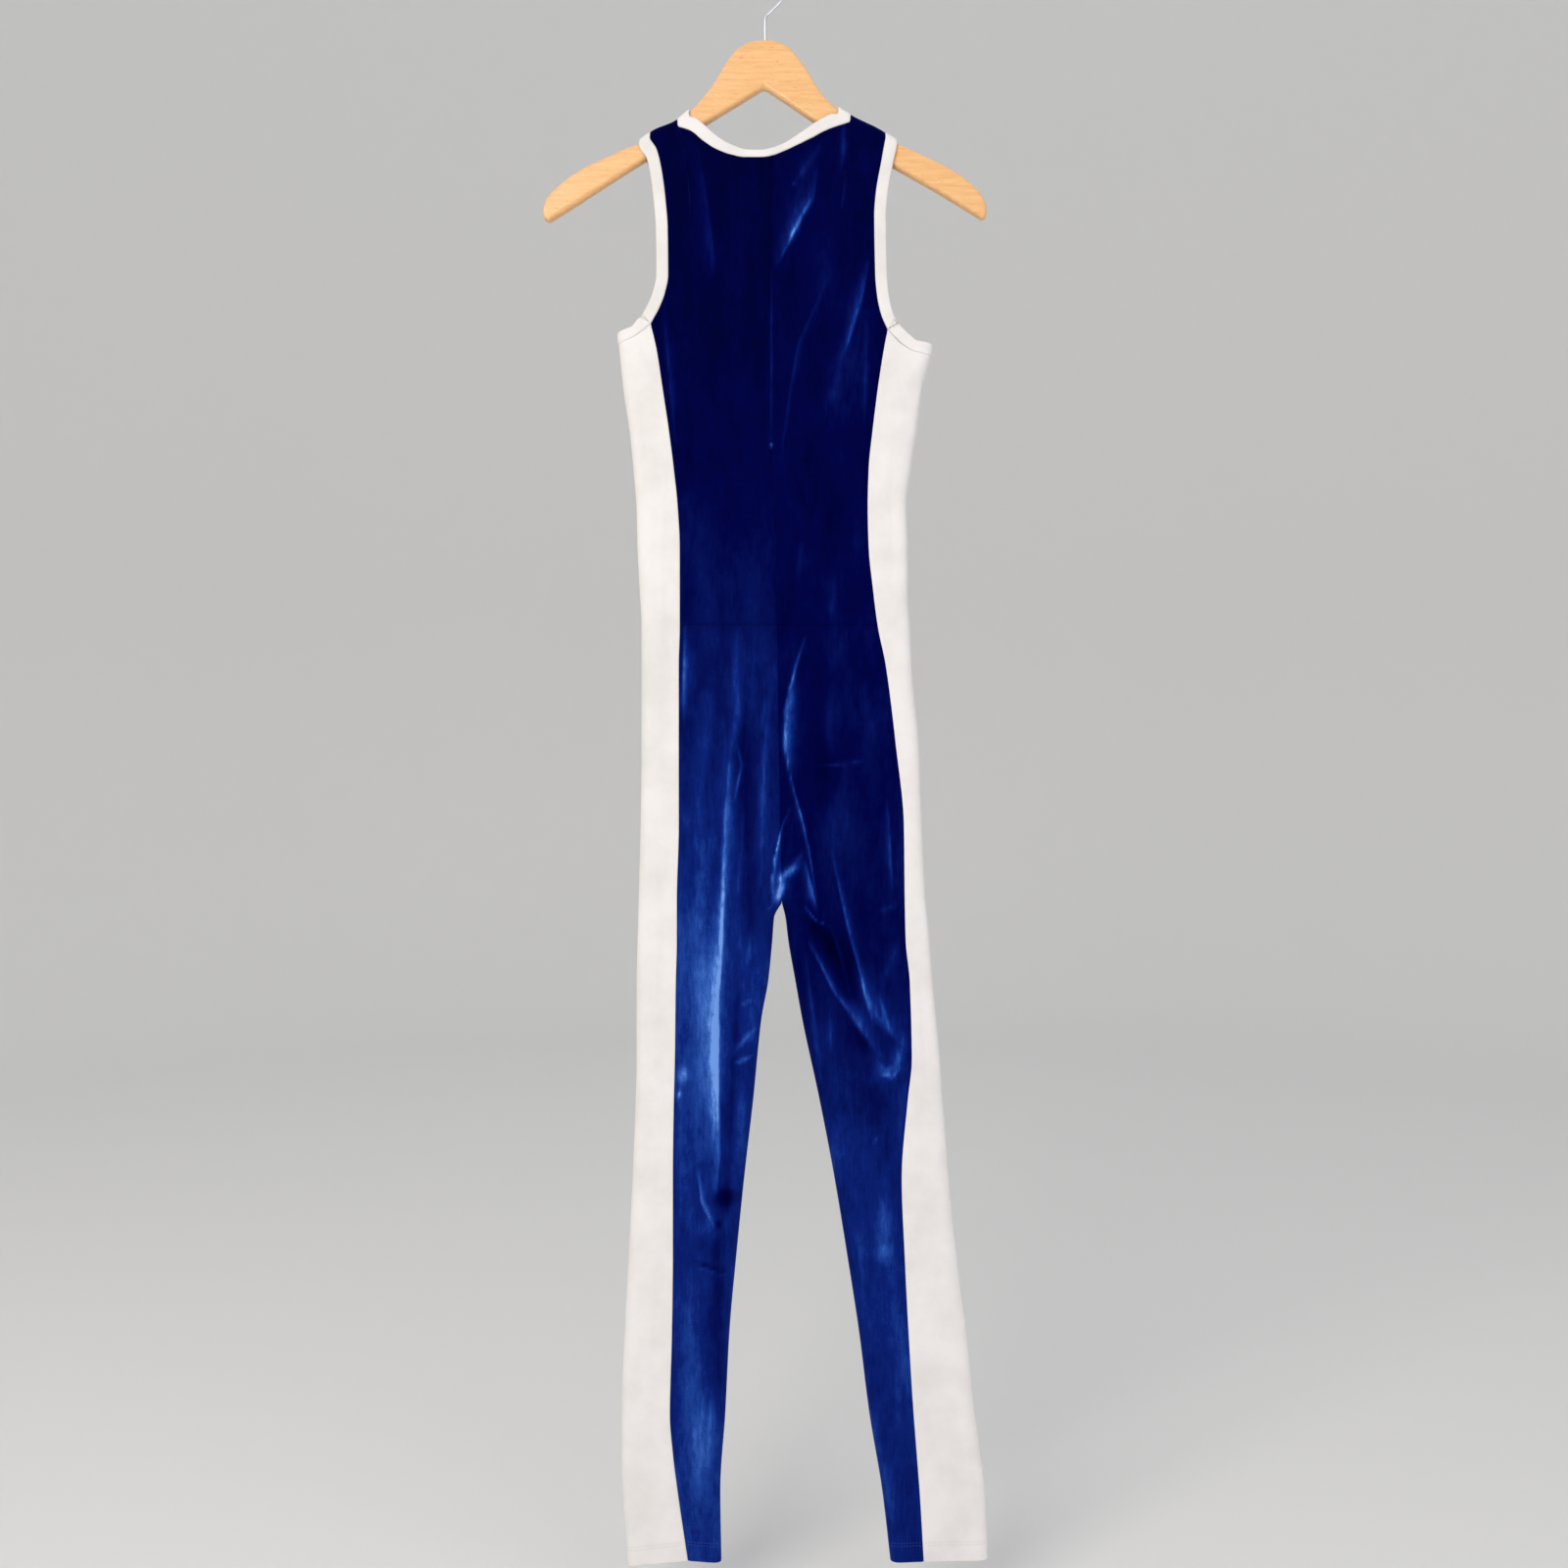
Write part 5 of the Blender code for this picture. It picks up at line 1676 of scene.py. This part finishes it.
@dataclass
class Bands:
    """The folded white bands round the neck and the armholes.

    Attributes:
        form: The cloth's surface.
        openings: The seams that they are sewn to.
        neck_width: The neck band's width.
        front_width: How much of it shows at the middle of the front, where it rolls in.
        arm_width: The armhole bands' width.
        section: A band's section: shares of the width from the seam, and how far each corner stands out.
    """

    form: Form
    openings: Openings
    neck_width: float = 13.0
    front_width: float = 7.5
    arm_width: float = 12.0
    section: tuple = (
        (0.0, -0.5),
        (0.03, 0.1),
        (0.12, 0.42),
        (0.3, 0.5),
        (0.5, 0.45),
        (0.7, 0.38),
        (0.86, 0.22),
        (0.95, -0.1),
        (1.0, -0.65),
        (0.97, -1.2),
        (0.86, -1.55),
        (0.5, -1.7),
        (0.2, -1.6),
        (0.02, -1.3),
    )

    def strip(self, path: BandPath, face: Face, width: float, end_width: float) -> np.ndarray:
        """Gives the corners of a band's sections on one face, from the shoulder down.

        Args:
            path: The band's half.
            face: The layer.
            width: The band's width.
            end_width: How wide it looks at its last place.

        Returns:
            A section's corners for each station.
        """
        far = np.linspace(0, 1, 12)
        down = along(path.places) / along(path.places)[-1]
        widths = lerp(width, end_width, np.clip((down - 0.3) / 0.5, 0, 1) ** 1.3)
        places = path.across(far[None] * widths[:, None])
        grid = ClothGrid(*self.form.surface(path.side, face, places[..., 0], places[..., 1]))
        points, normals = grid.points, grid.normals(np.array(OUT[face]))
        shares = np.array([share for share, _ in self.section])
        rises = np.array([rise for _, rise in self.section])
        base, out = (
            np.stack([np.stack([np.interp(shares, far, row[:, a]) for a in range(3)], -1) for row in rows])
            for rows in (points, normals)
        )
        out /= np.linalg.norm(out, axis=-1, keepdims=True)
        stations = along(path.places)[:, None]
        puff = 1 + 0.12 * np.sin(stations / 4.1) + 0.1 * np.sin(stations / 9.7 + 1)
        lifted = np.where(rises > 0, rises * puff, rises)
        return base + out * lifted[..., None]

    def ring(
        self, name: str, sections: list[np.ndarray], jersey: bpy.types.Material, node: str
    ) -> None:
        """Makes a band from its sections.

        Args:
            name: The piece's name.
            sections: Its sections, all the way round.
            jersey: Its material.
            node: The solid that it replaces.
        """
        points = np.stack(sections)
        plain = np.zeros(points.shape[:2])
        piece = ClothGrid(points, plain, plain).mesh(name, Vector((0, -1, 0)), closed=True)
        bpy.context.view_layer.update()
        self.turn_out(piece)
        dress(piece, jersey, node)

    @staticmethod
    def turn_out(piece: bpy.types.Object) -> None:
        """Turns a closed piece's faces outwards."""
        mesh = piece.data
        volume = sum(p.center.dot(p.normal) * p.area for p in mesh.polygons)
        if volume < 0:
            mesh.flip_normals()

    def build(self, jersey: bpy.types.Material) -> None:
        """Makes the three bands."""
        halves = []
        for side, face, down in (
            (Side.LEFT, Face.FRONT, True),
            (Side.RIGHT, Face.FRONT, False),
            (Side.RIGHT, Face.BACK, True),
            (Side.LEFT, Face.BACK, False),
        ):
            end_width = self.front_width if face is Face.FRONT else self.neck_width
            strip = self.strip(self.openings.neck(side), face, self.neck_width, end_width)
            halves.extend(strip[:-1] if down else strip[:0:-1])
        self.ring("jersey_neck_band", halves, jersey, "neck_band")
        for side in Side:
            path, wide = self.openings.arm(side), self.arm_width
            front, back = (self.strip(path, face, wide, wide) for face in Face)
            name = f"armhole_band_{side.name.lower()}"
            self.ring(f"jersey_{name}", [*front, *back[-2:0:-1]], jersey, name)


@dataclass
class Hanger:
    """The board and the hook, which keep the solids' own shapes."""

    def build(self) -> None:
        """Gives the two solids their finishes."""
        for node, finish in (("hanger_board", VarnishedBeech()), ("hanger_hook", ZincWire())):
            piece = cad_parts[node]
            piece.data.materials.clear()
            piece.data.materials.append(finish.make())
            log.info("%s: %s", node, finish.name)


@dataclass
class Studio:
    """The floor, the lights and the camera.

    Attributes:
        floor_drop: The floor's distance below the hook, in metres.
        reach: Half of the floor's width, in metres.
        cove: The radius of the curve up into the wall.
        wall: The wall's height.
        sides: How many flats it has all round.
        paper: The floor's colour.
        look_from: The camera's place, which is level with the middle of the picture.
        seen: The width that the camera sees at the garment, in metres.
    """

    floor_drop: float = 1.645
    reach: float = 5.0
    cove: float = 1.6
    wall: float = 4.6
    sides: int = 64
    paper: str = "#e8e7e5"
    look_from: tuple[float, float, float] = (0.0187, -1.5, -0.813)
    seen: float = 1.571

    def floor(self) -> None:
        """Makes the round floor, which curves up into a wall all round."""
        bend = np.linspace(0, math.pi / 2, 13)
        profile = [(self.reach - self.cove * (1 - math.sin(a)), self.cove * (1 - math.cos(a))) for a in bend]
        profile.append((self.reach, self.wall))
        turns = np.linspace(0, math.tau, self.sides, endpoint=False)
        verts = [(r * math.cos(a), r * math.sin(a), z - self.floor_drop) for r, z in profile for a in turns]
        faces = [tuple(range(self.sides))]
        for k in range(len(profile) - 1):
            for j in range(self.sides):
                low, after = k * self.sides, (j + 1) % self.sides
                faces.append((low + j, low + self.sides + j, low + self.sides + after, low + after))
        mesh = bpy.data.meshes.new("floor")
        mesh.from_pydata(verts, [], faces)
        mesh.shade_smooth()
        piece = bpy.data.objects.new("floor", mesh)
        bpy.context.scene.collection.objects.link(piece)
        made, _ = start_material("matte_studio_paper", {"Base Color": linear(self.paper), "Roughness": 0.95})
        piece.data.materials.append(made)

    def light(self, name: str, place: tuple, aim: tuple, size: float, power: float, code: str) -> None:
        """Adds a square soft light.

        Args:
            name: Its name.
            place: Where it stands.
            aim: The point that it faces.
            size: The length of its side, in metres.
            power: Its power, in watts.
            code: Its colour.
        """
        lamp = bpy.data.lights.new(name, "AREA")
        lamp.size = size
        lamp.energy = power
        lamp.color = linear(code)[:3]
        piece = bpy.data.objects.new(name, lamp)
        piece.location = place
        piece.rotation_euler = (Vector(aim) - Vector(place)).to_track_quat("-Z", "Y").to_euler()
        bpy.context.scene.collection.objects.link(piece)

    def camera(self) -> None:
        """Adds the camera at the photograph's angle."""
        lens = bpy.data.cameras.new("camera")
        lens.sensor_fit = "HORIZONTAL"
        lens.angle = 2 * math.atan(self.seen / 2 / -self.look_from[1])
        lens.dof.use_dof = False
        piece = bpy.data.objects.new("camera", lens)
        piece.location = self.look_from
        piece.rotation_euler = (math.radians(90), 0, 0)
        bpy.context.scene.collection.objects.link(piece)
        bpy.context.scene.camera = piece

    def build(self) -> None:
        """Makes the whole studio."""
        self.floor()
        world = bpy.data.worlds.new("studio")
        bpy.context.scene.world = world
        world.use_nodes = True
        sky = world.node_tree.nodes["Background"]
        sky.inputs["Color"].default_value = linear("#e4e6ea")
        sky.inputs["Strength"].default_value = 0.9
        self.light("key", (-1.3, -2.2, 0.3), (0.0, 0.0, -0.8), 1.6, 42, "#fffaf3")
        self.light("fill", (1.7, -2.0, -0.65), (0.0, 0.0, -0.9), 1.8, 14, "#f3f6ff")
        bpy.context.scene.view_settings.view_transform = "Standard"
        self.camera()


def main() -> None:
    """Builds the dressed garment and its studio."""
    logging.basicConfig(level=logging.INFO, format="%(message)s")
    form = Form()
    openings = Openings(form)
    velvet = StretchVelvet().make()
    jersey = CottonJersey().make()
    Bodice(form, openings).build(velvet)
    Legs(form).build(velvet)
    for side in Side:
        SidePanel(form, side).build(jersey)
    Bands(form, openings).build(jersey)
    HemStitching(form).make_rows()
    Hanger().build()
    Studio().build()


if __name__ == "__main__":
    main()
